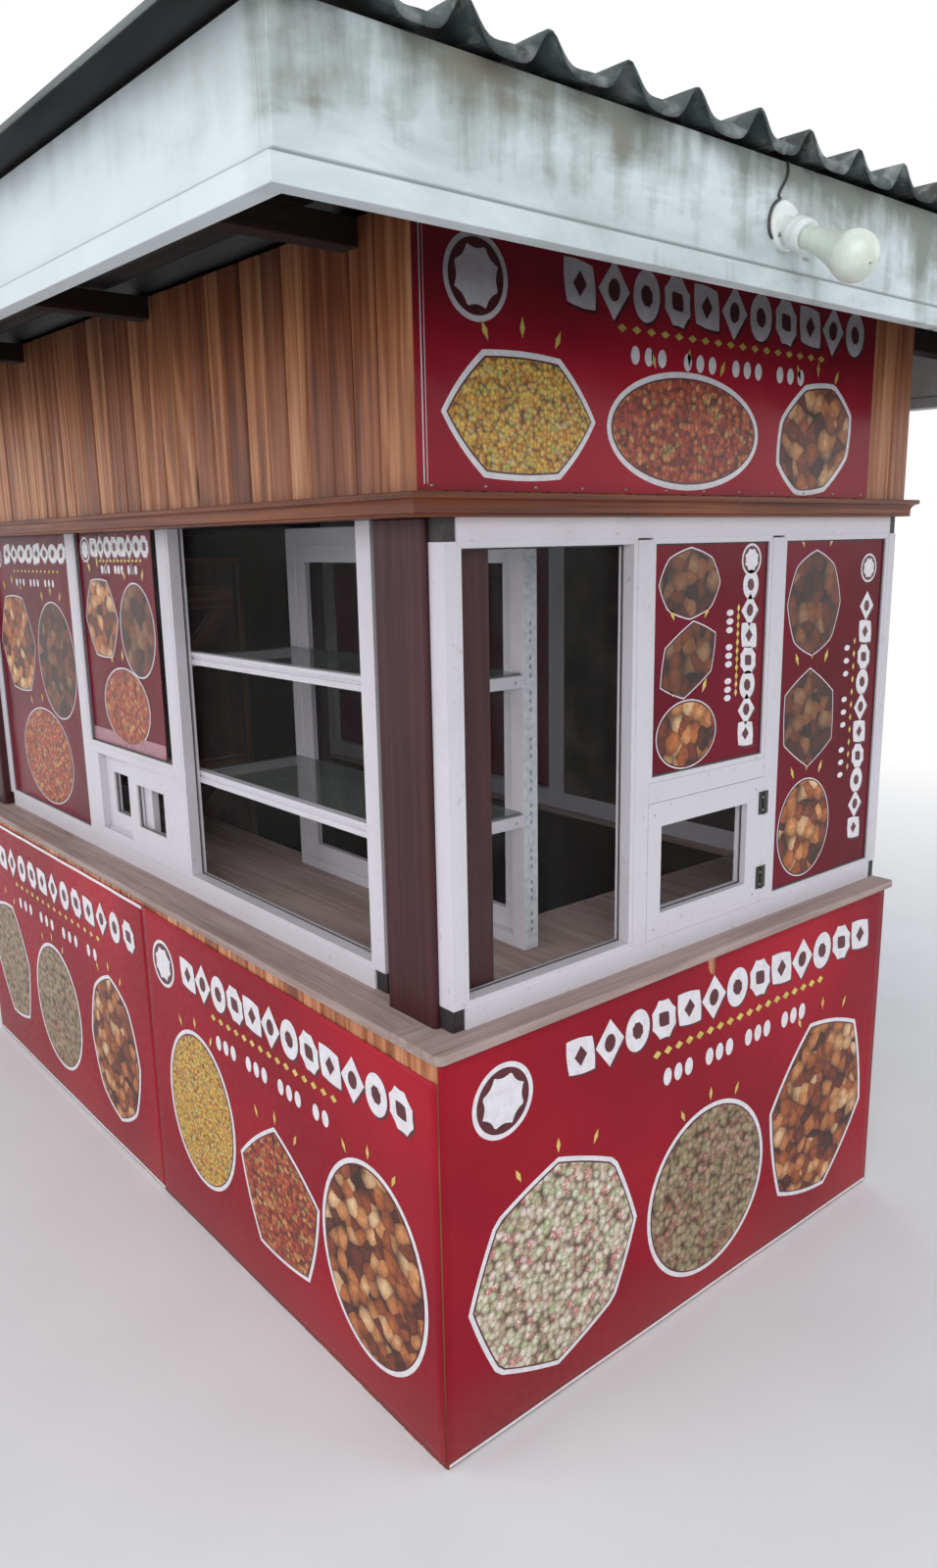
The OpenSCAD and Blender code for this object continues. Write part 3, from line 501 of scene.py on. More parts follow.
def wood(source, scales, stops, tone_stops=(), roughness=0.5, coat=0.0, knots=0.0, rings=0.3, depth=0.0004,
         painted_shade_from=None):
    """Planed or sawn timber. scales are the grain's scale per metre in the three coordinates: a long way along the
    fibre and a few millimetres across it. A sine of slow noise gives the broad rings, fine noise the grain, stains
    come and go along the board, and knots are the share of cells with a dark spot. The tone of a board multiplies its
    colour. From a given height up the colour darkens towards near black: painted shade under the eaves."""
    def finish(tree):
        def fibre(share, least=0.0):
            return coordinates(tree, source, [max(s * share, least) for s in scales])

        drift = add(tree, "TexNoise", {"Vector": fibre(0.16), "Scale": 1.0, "Detail": 3.0, "Distortion": 0.6}, "Fac")
        grain = add(tree, "TexNoise", {"Vector": fibre(1.0), "Scale": 1.0, "Detail": 7.0, "Roughness": 0.62,
                                       "Distortion": 0.35}, "Fac")
        stain = add(tree, "TexNoise", {"Vector": fibre(0.08, 2.0), "Scale": 1.0, "Detail": 4.0, "Roughness": 0.6},
                    "Fac")
        wave = add(tree, "Math", [drift, 38.0], 0, operation="MULTIPLY")
        wave = add(tree, "Math", [wave], 0, operation="SINE")
        wave = add(tree, "Math", [wave, rings * 0.5, rings * 0.5], 0, operation="MULTIPLY_ADD")
        both = add(tree, "Math", [wave, grain], 0, operation="ADD")
        both = add(tree, "Math", [stain, 0.7, both], 0, operation="MULTIPLY_ADD")
        base = add(tree, "ValToRGB", [add(tree, "MapRange", [both, 0.55, 1.15 + rings], 0)], 0, stops)
        if tone_stops:
            shade = add(tree, "ValToRGB", [add(tree, "Attribute", out="Fac", attribute_name="tone")], 0, tone_stops)
            base = add(tree, "Mix", {0: 1.0, 6: base, 7: shade}, **COLOUR, blend_type="MULTIPLY")
        if knots:
            cell = add(tree, "TexVoronoi", {"Vector": fibre(0.16, 3.0), "Scale": 1.0, "Randomness": 1.0}).outputs
            rare = add(tree, "MapRange", [add(tree, "SeparateColor", [cell["Color"]], 0), knots, knots - 0.02], 0)
            spot = add(tree, "MapRange", [cell["Distance"], 0.06, 0.20, 0.85, 0.0], 0)
            spot = add(tree, "Math", [spot, rare], 0, operation="MULTIPLY")
            base = add(tree, "Mix", {0: spot, 6: base, 7: "#341A0F"}, **COLOUR)
        # Painted shade under the eaves: from the given height up the colour darkens towards near black.
        if painted_shade_from:
            height = add(tree, "SeparateXYZ", [coordinates(tree)], 2)
            height = add(tree, "Math", [stain, 0.16, height], 0, operation="MULTIPLY_ADD")
            top_shade_amount = add(tree, "MapRange", [height, painted_shade_from + 0.08, painted_shade_from + 0.33, 0.0, 0.8], 0)
            base = add(tree, "Mix", {0: top_shade_amount, 6: base, 7: "#170A07"}, **COLOUR)
        return {"Base Color": base, "Coat Weight": coat, "Coat Roughness": 0.3, "IOR": 1.5, "Specular IOR Level": 0.3,
                "Roughness": add(tree, "MapRange", [grain, 0.2, 0.8, roughness + 0.12, roughness - 0.08], 0),
                "Normal": add(tree, "Bump", {"Height": grain, "Distance": depth}, 0)}
    return finish


def painted_eaves_shade(tree, base):
    """The colour darkened by painted shade under the eaves, growing from just below them up."""
    height = add(tree, "SeparateXYZ", [coordinates(tree)], 2)
    eaves_shade_amount = add(tree, "MapRange", [height, EAVES_Z - 0.04, EAVES_Z + 0.10, 0.0, 0.7], 0)
    return add(tree, "Mix", {0: eaves_shade_amount, 6: base, 7: "#2B1A1C"}, **COLOUR)


def speckled(scale, detail, stops, values, depth=0.0, source="Object", eaves_shaded=False):
    """A plain finish whose colour drifts between two stops with noise of a scale per metre, which may raise it too."""
    def finish(tree):
        noise = add(tree, "TexNoise", {"Vector": coordinates(tree, source, (scale,) * 3), "Detail": detail}, "Fac")
        base = add(tree, "ValToRGB", [noise], 0, stops)
        relief = {"Normal": add(tree, "Bump", {"Height": noise, "Distance": depth}, 0)} if depth else {}
        # Where it is asked for, painted shade darkens the colour under the eaves.
        return {"Base Color": painted_eaves_shade(tree, base) if eaves_shaded else base, **relief, **values}
    return finish


def ink(light, dark):
    """One solid ink on vinyl: almost even, with the thin patches and rubs of a cheap print, 0.1 m apart."""
    # Under the eaves the ink is darkened by painted shade.
    return speckled(9.0, 5.0, [(0.35, dark), (0.6, light)], {"Roughness": 0.34, "IOR": 1.5}, source="UV", eaves_shaded=True)


def laminated_print(low, high):
    """Printed and laminated sheet: the same red in clouds between two tones, glossy and slightly buckled."""
    def finish(tree):
        metres = coordinates(tree)
        cloud = add(tree, "TexNoise", {"Vector": metres, "Scale": 2.0, "Detail": 3.0}, "Fac")
        base = add(tree, "ValToRGB", [cloud], 0, [(0.3, low), (0.7, high)])
        buckle = add(tree, "TexNoise", {"Vector": metres, "Scale": 7.0, "Detail": 1.0}, "Fac")
        # Under the eaves the print is darkened by painted shade.
        return {"Base Color": painted_eaves_shade(tree, base), "Roughness": 0.2, "IOR": 1.5, "Specular IOR Level": 0.1,
                "Normal": add(tree, "Bump", {"Height": buckle, "Distance": 0.003}, 0)}
    return finish


def glass(tint, alpha, through, gloss, scale, dust):
    """Clear float glass: its tint, the share of it that isn't seen through at all, transmission and gloss, and a film
    of dust that dulls it in patches of a scale per metre, mapped from noise to roughness."""
    def finish(tree):
        film = add(tree, "TexNoise", {"Vector": coordinates(tree, "Object", (scale,) * 3), "Detail": 5.0}, "Fac")
        return {"IOR": 1.46, "Transmission Weight": through, "Specular IOR Level": gloss, "Alpha": alpha,
                "Base Color": tint, "Roughness": add(tree, "MapRange", [film, *dust], 0)}
    return finish


def powder_coated_aluminium(tree):
    """Extruded aluminium under white powder coat: cool white, satin, a faint orange peel of 1.5 mm and thin dust."""
    metres = coordinates(tree)
    dust = add(tree, "TexNoise", {"Vector": metres, "Scale": 5.0, "Detail": 6.0, "Roughness": 0.65}, "Fac")
    fine = add(tree, "TexNoise", {"Vector": metres, "Scale": 60.0, "Detail": 3.0}, "Fac")
    peel = add(tree, "TexNoise", {"Vector": metres, "Scale": 650.0, "Detail": 1.0}, "Fac")
    dirt = add(tree, "MapRange", [dust, 0.5, 0.75, 0.0, 0.35], 0)
    marks = add(tree, "MapRange", [fine, 0.66, 0.74, 0.0, 0.4], 0)
    base = add(tree, "Mix", {0: dirt, 6: "powder", 7: "#B9B3B2"}, **COLOUR)
    return {"Base Color": add(tree, "Mix", {0: marks, 6: base, 7: "#9C948F"}, **COLOUR), "IOR": 1.5,
            "Roughness": add(tree, "MapRange", [dust, 0.3, 0.7, 0.3, 0.5], 0),
            "Normal": add(tree, "Bump", {"Height": peel, "Distance": 0.00006}, 0)}


def brown_hardboard(tree):
    """Tempered hardboard: pressed smooth, dark brown, with the paler scuffs and damp patches of long use."""
    metres = coordinates(tree)
    patch = add(tree, "TexNoise", {"Vector": metres, "Scale": 7.0, "Detail": 6.0, "Distortion": 0.8}, "Fac")
    felt = add(tree, "TexNoise", {"Vector": metres, "Scale": 260.0, "Detail": 2.0}, "Fac")
    base = add(tree, "ValToRGB", [patch], 0, [(0.3, "#241A15"), (0.55, "#3D2E26"), (0.8, "#655046")])
    return {"Base Color": base, "Roughness": 0.55, "IOR": 1.5,
            "Normal": add(tree, "Bump", {"Height": felt, "Distance": 0.0002}, 0)}


def printed_vinyl(tree):
    """Banner vinyl: red ink on a white scrim in clouds of deep and warm red, with a soft sheen, a fine weave and dust
    low down."""
    metres = coordinates(tree, "UV")
    cloud = add(tree, "TexNoise", {"Vector": metres, "Scale": 1.7, "Detail": 3.0}, "Fac")
    glow = add(tree, "TexNoise", {"Vector": metres, "Scale": 0.9, "Detail": 1.0}, "Fac")
    grit = add(tree, "TexNoise", {"Vector": metres, "Scale": 45.0, "Detail": 5.0}, "Fac")
    weave = add(tree, "TexNoise", {"Vector": metres, "Scale": 320.0, "Detail": 2.0}, "Fac")
    base = add(tree, "Mix", {0: add(tree, "MapRange", [cloud, 0.3, 0.7], 0), 6: "#840F21", 7: "vinyl"}, **COLOUR)
    warm = add(tree, "MapRange", [glow, 0.5, 0.75, 0.0, 0.6], 0)
    base = add(tree, "Mix", {0: warm, 6: base, 7: "#C02334"}, **COLOUR)
    low = add(tree, "MapRange", [add(tree, "SeparateXYZ", [metres], 1), 0.02, 0.22, 0.3, 0.0], 0)
    dust = add(tree, "Math", [low, grit], 0, operation="MULTIPLY")
    return {"Base Color": add(tree, "Mix", {0: dust, 6: base, 7: "#8A7468"}, **COLOUR), "IOR": 1.5,
            "Specular IOR Level": 0.13, "Roughness": add(tree, "MapRange", [grit, 0.3, 0.7, 0.3, 0.45], 0),
            "Normal": add(tree, "Bump", {"Height": weave, "Distance": 0.00008}, 0)}


def pieces_of(tree, metres, size, bend, stops):
    """Irregular pieces of about one size, printed light on top and dark where they meet: distorted Voronoi cells,
    each with a colour from the stops, darkened by the distance from its middle."""
    noise = add(tree, "TexNoise", {"Vector": metres, "Scale": 0.55 / size, "Detail": 3.0}, "Color")
    shifted = add(tree, "Mix", {0: bend, 6: metres, 7: noise}, **COLOUR, blend_type="ADD")
    cell = add(tree, "TexVoronoi", {"Vector": shifted, "Scale": 1.0 / size}).outputs
    fine = add(tree, "TexNoise", {"Vector": shifted, "Scale": 3.0 / size, "Detail": 4.0}, "Fac")
    pick = add(tree, "SeparateColor", [cell["Color"]], 0)
    pick = add(tree, "Math", [fine, 0.6, pick], 0, operation="MULTIPLY_ADD")
    base = add(tree, "ValToRGB", [add(tree, "MapRange", [pick, 0.25, 1.3], 0)], 0, stops)
    edge = add(tree, "ValToRGB", [cell["Distance"]], 0, [(0.15, "#FFFFFF"), (0.5, "#DDD6D0"), (0.85, "#7A6A60")])
    return add(tree, "Mix", {0: 1.0, 6: base, 7: edge}, **COLOUR, blend_type="MULTIPLY")


def mottled_ink(tree):
    """Four-colour print of small mixed pieces of 9 to 40 mm: ochre with green flecks, browns, cream with brown and
    red, or orange-red. Each palette takes over from the one before it where a motif's tone passes its threshold, and
    motifs of some tones are printed darker."""
    metres = coordinates(tree, "UV")
    tone = add(tree, "Attribute", out="Fac", attribute_name="tone")
    base = pieces_of(tree, metres, 0.009, 0.006, [
        (0.0, "#C07A28"), (0.3, "#E3A83E"), (0.66, "#F2CB62"), (0.88, "#A9AE52"), (0.93, "#FAE9B0"), (1.0, "#D0602F")])
    for low, size, bend, stops in (
            (0.30, 0.040, 0.036, [(0.0, "#3A160C"), (0.3, "#7A351A"), (0.55, "#B4622F"), (0.8, "#D4935A"),
                                  (1.0, "#EBC79A")]),
            (0.63, 0.018, 0.014, [(0.0, "#9A8068"), (0.2, "#CDBB9F"), (0.5, "#F2E8D6"), (0.7, "#AEBB84"),
                                  (0.8, "#FAF5EA"), (0.95, "#C4434C"), (1.0, "#E8DCC6")]),
            (0.87, 0.013, 0.010, [(0.0, "#7C2414"), (0.4, "#B4432A"), (0.75, "#CE6A3A"), (0.9, "#E3A56B"),
                                  (1.0, "#7E7A3A")])):
        past = add(tree, "MapRange", [tone, low, low + 0.06], 0)
        base = add(tree, "Mix", {0: past, 6: base, 7: pieces_of(tree, metres, size, bend, stops)}, **COLOUR)
    dim = add(tree, "ValToRGB", [tone], 0, [
        (0.36, "#FFFFFF"), (0.39, "#A08E88"), (0.45, "#A08E88"), (0.48, "#FFFFFF"), (0.69, "#FFFFFF"),
        (0.72, "#C4B4A2"), (0.78, "#C4B4A2"), (0.81, "#FFFFFF")])
    return {"Base Color": add(tree, "Mix", {0: 1.0, 6: base, 7: dim}, **COLOUR, blend_type="MULTIPLY"),
            "Roughness": 0.38, "IOR": 1.5, "Specular IOR Level": 0.4}


def chalky_fascia_paint(tree):
    """White gloss paint on boards, gone cool and chalky. Grey-green dirt has washed down from the sheets in soft
    blotches, mostly on the front where the roof drains, a dark line lies on the trim, and a few knocks show."""
    x, y, z = add(tree, "SeparateXYZ", [coordinates(tree)]).outputs
    run = add(tree, "TexNoise", {"Vector": coordinates(tree, "Object", (19.0, 19.0, 2.6)), "Scale": 1.0, "Detail": 5.0,
                                 "Roughness": 0.55}, "Fac")
    patch = add(tree, "TexNoise", {"Vector": coordinates(tree, "Object", (4.0, 4.0, 9.0)), "Scale": 1.0, "Detail": 6.0,
                                   "Roughness": 0.6, "Distortion": 0.4}, "Fac")
    fall = FASCIA_HI[2] - FASCIA_LO[2] - FASCIA_H
    along = add(tree, "MapRange", [y, FASCIA_LO[1], FASCIA_HI[1], 0.0, fall], 0)
    level = add(tree, "Math", [z, along], 0, operation="SUBTRACT")
    top = add(tree, "MapRange", [level, FASCIA_LO[2] + 0.03, FASCIA_LO[2] + FASCIA_H, 0.0, 0.40], 0)
    far = add(tree, "MapRange", [x, FASCIA_LO[0] + 0.2, FASCIA_HI[0] - 0.8, 0.0, 0.30], 0)
    front = add(tree, "MapRange", [y, FASCIA_LO[1] + 0.03, FASCIA_LO[1] + 0.06, 1.0, 0.25], 0)
    wet = add(tree, "Math", [run, 0.95, top], 0, operation="MULTIPLY_ADD")
    wet = add(tree, "Math", [patch, 0.75, wet], 0, operation="MULTIPLY_ADD")
    wet = add(tree, "Math", [wet, far], 0, operation="ADD")
    dirt = add(tree, "Math", [add(tree, "MapRange", [wet, 1.03, 1.36, 0.0, 0.95], 0), front], 0, operation="MULTIPLY")
    dull = add(tree, "Math", [add(tree, "MapRange", [patch, 0.35, 0.7, 0.1, 0.8], 0), front], 0, operation="MULTIPLY")
    mud = add(tree, "Math", [add(tree, "MapRange", [patch, 0.58, 0.72, 0.0, 0.5], 0), dirt], 0, operation="MULTIPLY")
    groove = add(tree, "Math", [level, FASCIA_LO[2] + TRIM_H + 0.001], 0, operation="SUBTRACT")
    groove = add(tree, "Math", [groove], 0, operation="ABSOLUTE")
    groove = add(tree, "MapRange", [groove, 0.0012, 0.0045, 0.75, 0.0], 0)
    cell = add(tree, "TexVoronoi", {"Vector": coordinates(tree, "Object", (9.0, 9.0, 26.0)), "Scale": 1.0}).outputs
    rare = add(tree, "MapRange", [add(tree, "SeparateColor", [cell["Color"]], 0), 0.16, 0.14], 0)
    knock = add(tree, "MapRange", [cell["Distance"], 0.05, 0.13, 0.8, 0.0], 0)
    knock = add(tree, "Math", [knock, rare], 0, operation="MULTIPLY")
    base = "paint"
    for mask, code in ((dull, "#9BA5A2"), (dirt, "#747970"), (mud, "#7D6A55"), (groove, "#6F7271"), (knock, "#5C5F60")):
        base = add(tree, "Mix", {0: mask, 6: base, 7: code}, **COLOUR)
    brush = add(tree, "TexNoise", {"Vector": coordinates(tree, "Object", (9.0, 9.0, 240.0)), "Detail": 3.0}, "Fac")
    return {"Base Color": base, "Roughness": 0.5, "IOR": 1.5, "Specular IOR Level": 0.35,
            "Normal": add(tree, "Bump", {"Height": brush, "Distance": 0.0003}, 0)}


def weathered_roofing(tree):
    """Long-worn roofing sheet: dull grey-green with dark bloom and a little rust, darkened underneath by painted shade,
    and pale in patches along the eaves: dust that the wash leaves as it dries, brightened as painted light from the
    ground."""
    metres = coordinates(tree)
    bloom = add(tree, "TexNoise", {"Vector": coordinates(tree, "Object", (7.0, 1.3, 7.0)), "Scale": 1.0, "Detail": 8.0,
                                   "Roughness": 0.7}, "Fac")
    grit = add(tree, "TexNoise", {"Vector": metres, "Scale": 70.0, "Detail": 4.0}, "Fac")
    dust = add(tree, "TexNoise", {"Vector": metres, "Scale": 17.0, "Detail": 5.0, "Distortion": 0.6}, "Fac")
    facing_z = add(tree, "SeparateXYZ", [add(tree, "NewGeometry", out="Normal")], 2)
    y = add(tree, "SeparateXYZ", [metres], 1)
    eaves = add(tree, "MapRange", [y, ROOF_LO[1] + 0.035, ROOF_LO[1] + 0.075, 1.0, 0.0], 0)
    inner = add(tree, "Math", [1.0, eaves], 0, operation="SUBTRACT")
    # Painted shade: faces turned downwards are darkened, except along the eaves.
    under = add(tree, "Math", [add(tree, "MapRange", [facing_z, 0.0, -0.5], 0), inner], 0, operation="MULTIPLY")
    # Pale patches along the eaves: dust, brightened as painted light from the ground.
    pale = add(tree, "Math", [add(tree, "MapRange", [dust, 0.50, 0.66, 0.0, 0.55], 0), eaves], 0, operation="MULTIPLY")
    base = "sheet"
    for mask, code in ((add(tree, "MapRange", [bloom, 0.42, 0.62], 0), "#343A3A"),
                       (add(tree, "MapRange", [bloom, 0.6, 0.78, 0.0, 0.55], 0), "#7A6450"),
                       (add(tree, "MapRange", [grit, 0.6, 0.72, 0.0, 0.4], 0), "#9C9A8C"),
                       (under, "#1E2021"), (pale, "#A3A6A4")):
        base = add(tree, "Mix", {0: mask, 6: base, 7: code}, **COLOUR)
    return {"Base Color": base, "IOR": 1.5, "Specular IOR Level": 0.3,
            "Roughness": add(tree, "MapRange", [bloom, 0.3, 0.7, 0.5, 0.8], 0),
            "Normal": add(tree, "Bump", {"Height": grit, "Distance": 0.0004}, 0)}


def seen_straight(tree):
    """One for a ray from the camera, a mirror or glass with no dull surface between, else nothing."""
    ray = add(tree, "LightPath").outputs
    seen = add(tree, "Math", [ray["Is Camera Ray"], ray["Is Glossy Ray"]], 0, operation="MAXIMUM")
    seen = add(tree, "Math", [seen, ray["Is Transmission Ray"]], 0, operation="MAXIMUM")
    straight = add(tree, "MapRange", [ray["Diffuse Depth"], 0.0, 1.0, 1.0, 0.0], 0)
    return add(tree, "Math", [seen, straight], 0, operation="MULTIPLY")


def studio_floor(tree):
    """Plain pale floor, which keeps the shadow by the kiosk and fades into the white background from 2.2 to 7 m out."""
    metres = coordinates(tree)
    noise = add(tree, "TexNoise", {"Vector": metres, "Scale": 3.0, "Detail": 2.0}, "Fac")
    base = add(tree, "ValToRGB", [noise], 0, [(0.2, "#E2E2E2"), (0.8, "#E8E8E8")])
    away = add(tree, "MapRange", [add(tree, "VectorMath", [metres], "Value", operation="LENGTH"), 2.2, 7.0], 0)
    fade = add(tree, "Math", [away, seen_straight(tree)], 0, operation="MULTIPLY")
    floor = add(tree, "BsdfPrincipled", {"Base Color": base, "Roughness": 0.9}, 0)
    return add(tree, "MixShader", [fade, floor, add(tree, "Emission", ["#FFFFFF", 1.0], 0)], 0)


GREYED = dict(roughness=0.78, rings=0.12, depth=0.0006)
GREYED_STOPS = [(0.0, "#7E665F"), (0.5, "#A38D87"), (1.0, "#BBA8A2")]
# Sawn timber is coloured almost black as painted shade, and darkens further with painted shade from just below the
# eaves up.
SAWN = dict(roughness=0.8, depth=0.0008, painted_shade_from=EAVES_Z - 0.15)
SAWN_STOPS = [(0.0, "#18100B"), (0.5, "#2D1E15"), (1.0, "#493525")]

FINISHES = {
    # Pine or teak boards under a satin varnish: honey to dark brown, warm, with a soft shine along the grain.
    # Its darkest tone is painted shade, taken by the linings and the door's inside, and from the eaves up it darkens
    # with painted shade.
    "satin_varnished_boards": wood(
        "UV", (2.4, 60.0, 1.0), [(0.0, "#6B3E28"), (0.38, "#AE7048"), (0.65, "varnish"), (1.0, "#E8C7A6")],
        [(0.0, "#35271F"), (0.12, "#B99A8A"), (0.45, "#E8D2C2"), (1.0, "#FFF8EE")], 0.42, 0.12, 0.42,
        painted_shade_from=EAVES_Z),
    # The same varnished timber in a narrow run, a little darker and redder.
    "varnished_moulding": wood("UV", (2.0, 90.0, 1.0), [(0.0, "#3A160A"), (0.5, "#6E3314"), (1.0, "#985426")],
                               roughness=0.42, coat=0.12, rings=0.15),
    # Planed posts under a dark red-brown stain: dull, almost plum in the light, with fine upright grain.
    "dark_stained_post": wood("Object", (60.0, 60.0, 1.6), [(0.0, "#2C0E10"), (0.5, "stain"), (1.0, "#4E2026")],
                              coat=0.05, rings=0.1),
    # Bare boards that weather has greyed and dust has dulled, with their grain along x or y.
    "weathered_plank_x": wood("Object", (2.5, 60.0, 60.0), GREYED_STOPS, **GREYED),
    "weathered_plank_y": wood("Object", (60.0, 2.5, 60.0), GREYED_STOPS, **GREYED),
    # Sawn softwood, bare and rough, with its grain along x or upright; its dark colour is painted shade.
    "sawn_timber_x": wood("Object", (3.0, 60.0, 60.0), SAWN_STOPS, **SAWN),
    "sawn_timber_z": wood("Object", (60.0, 60.0, 3.0), SAWN_STOPS, **SAWN),
    # Trodden floor planks, dusty and dull.
    "floor_planks": wood("UV", (2.5, 60.0, 1.0), [(0.0, "#4C3A2E"), (0.5, "#6B5747"), (1.0, "#857260")],
                         [(0.0, "#C0B8B0"), (1.0, "#FFFFFF")], roughness=0.8, knots=0.2),
    # Blocks of dark plastic and coated section in the corners, dull, with dust on them.
    "dark_coated_section": speckled(30.0, 4.0, [(0.35, "#161113"), (0.75, "#352D2F")], {"Roughness": 0.5}, 0.0002),
    # Black painted hinges and handles with worn, greyer arrises.
    "black_ironmongery": speckled(90.0, 4.0, [(0.4, "#1A1718"), (0.8, "#3B3536")], {"Roughness": 0.4, "IOR": 1.5},
                                  0.0001),
    # Black glazing gasket, dull and dusty.
    "rubber_gasket": speckled(40.0, 3.0, [(0.3, "#1B1A1C"), (0.8, "#4A4544")], {"Roughness": 0.6}),
    # Zinc-plated steel screws and nails, gone grey and spotted every 3 mm.
    "bright_screw": speckled(300.0, 3.0, [(0.4, "#B6B2AA"), (0.75, "#6A5A4C")], {"Roughness": 0.4, "Metallic": 1.0}),
    # The film that a section comes in: thin, white, dull, with rubbed patches.
    "protective_film": speckled(14.0, 5.0, [(0.35, "#DEDFE0"), (0.7, "#B9BBBF")], {"Roughness": 0.45, "IOR": 1.45}),
    # The clear margin of a printed film, pink where the red ink has bled and grey with dust.
    "film_margin": speckled(20.0, 4.0, [(0.35, "#B98C97"), (0.7, "#96646F")],
                            {"Roughness": 0.4, "IOR": 1.45, "Specular IOR Level": 0.3}),
    # White moulded plastic of the lamp holder, a little yellowed and dusty.
    "moulded_plastic": speckled(14.0, 3.0, [(0.4, "#DDE1DF"), (0.8, "#CFD0C8")], {"Roughness": 0.35, "IOR": 1.46}),
    # Opal diffuser of the bulb, unlit: milky, slightly green, with a soft shine and light from within its skin.
    "opal_glass": speckled(9.0, 2.0, [(0.4, "#D3DBD0"), (0.8, "#C6CEC1")],
                           {"Roughness": 0.25, "IOR": 1.5, "Subsurface Weight": 0.4, "Subsurface Scale": 0.02}),
    # Black cable sheath, dull and dusty.
    "wire_sheath": speckled(80.0, 3.0, [(0.4, "#222224"), (0.8, "#4A4846")], {"Roughness": 0.5}),
    # White ink, a little pink where the ground shows through.
    "white_ink": ink("#E8E4E6", "#DED5D9"),
    # Soft yellow ink.
    "yellow_ink": ink("#DDC766", "#C6A54A"),
    # Thin blue-grey ink on the film.
    "dusty_blue_ink": ink("#7D8798", "#929AA6"),
    # Dark red ink, for the shade beside the white figures.
    "dark_red_ink": ink("#5A0F1C", "#470A16"),
    # The laminated print of the sign, a full red under its gloss.
    "laminated_sign": laminated_print("#8A1828", "#B02234"),
    # The laminated print of the panels in the frames, which is older and deeper.
    "laminated_panel": laminated_print("#5C0E1E", "#7A142A"),
    # Clear panes with the faint grey-green of their iron. The low alpha keeps the white surroundings out of them.
    "float_glass": glass("#D2DDD9", 0.012, 1.0, 0.1, 3.0, (0.55, 0.8, 0.0, 0.02)),
    # The same glass in the cabinet, greyer with grease and dust, so its shelves show as pale sheets.
    "dusty_shelf_glass": glass("#7C8480", 0.45, 0.4, 0.3, 6.0, (0.4, 0.7, 0.05, 0.3)),
    **{f.__name__: f for f in (powder_coated_aluminium, brown_hardboard, printed_vinyl, mottled_ink,
                               chalky_fascia_paint, weathered_roofing, studio_floor)}}


def material(finish):
    """The material of a finish, made the first time that it is asked for. A finish adds its nodes to a tree, and gives
    the values and links of a Principled shader or a shader of its own."""
    mat = bpy.data.materials.get(finish)
    if mat is None:
        mat = bpy.data.materials.new(finish)
        mat.use_nodes = True
        tree = mat.node_tree
        tree.nodes.clear()
        made = FINISHES[finish](tree)
        surface = add(tree, "BsdfPrincipled", made, 0) if isinstance(made, dict) else made
        add(tree, "OutputMaterial", [surface])
    return mat


# ---------------------------------------------------------------- operators

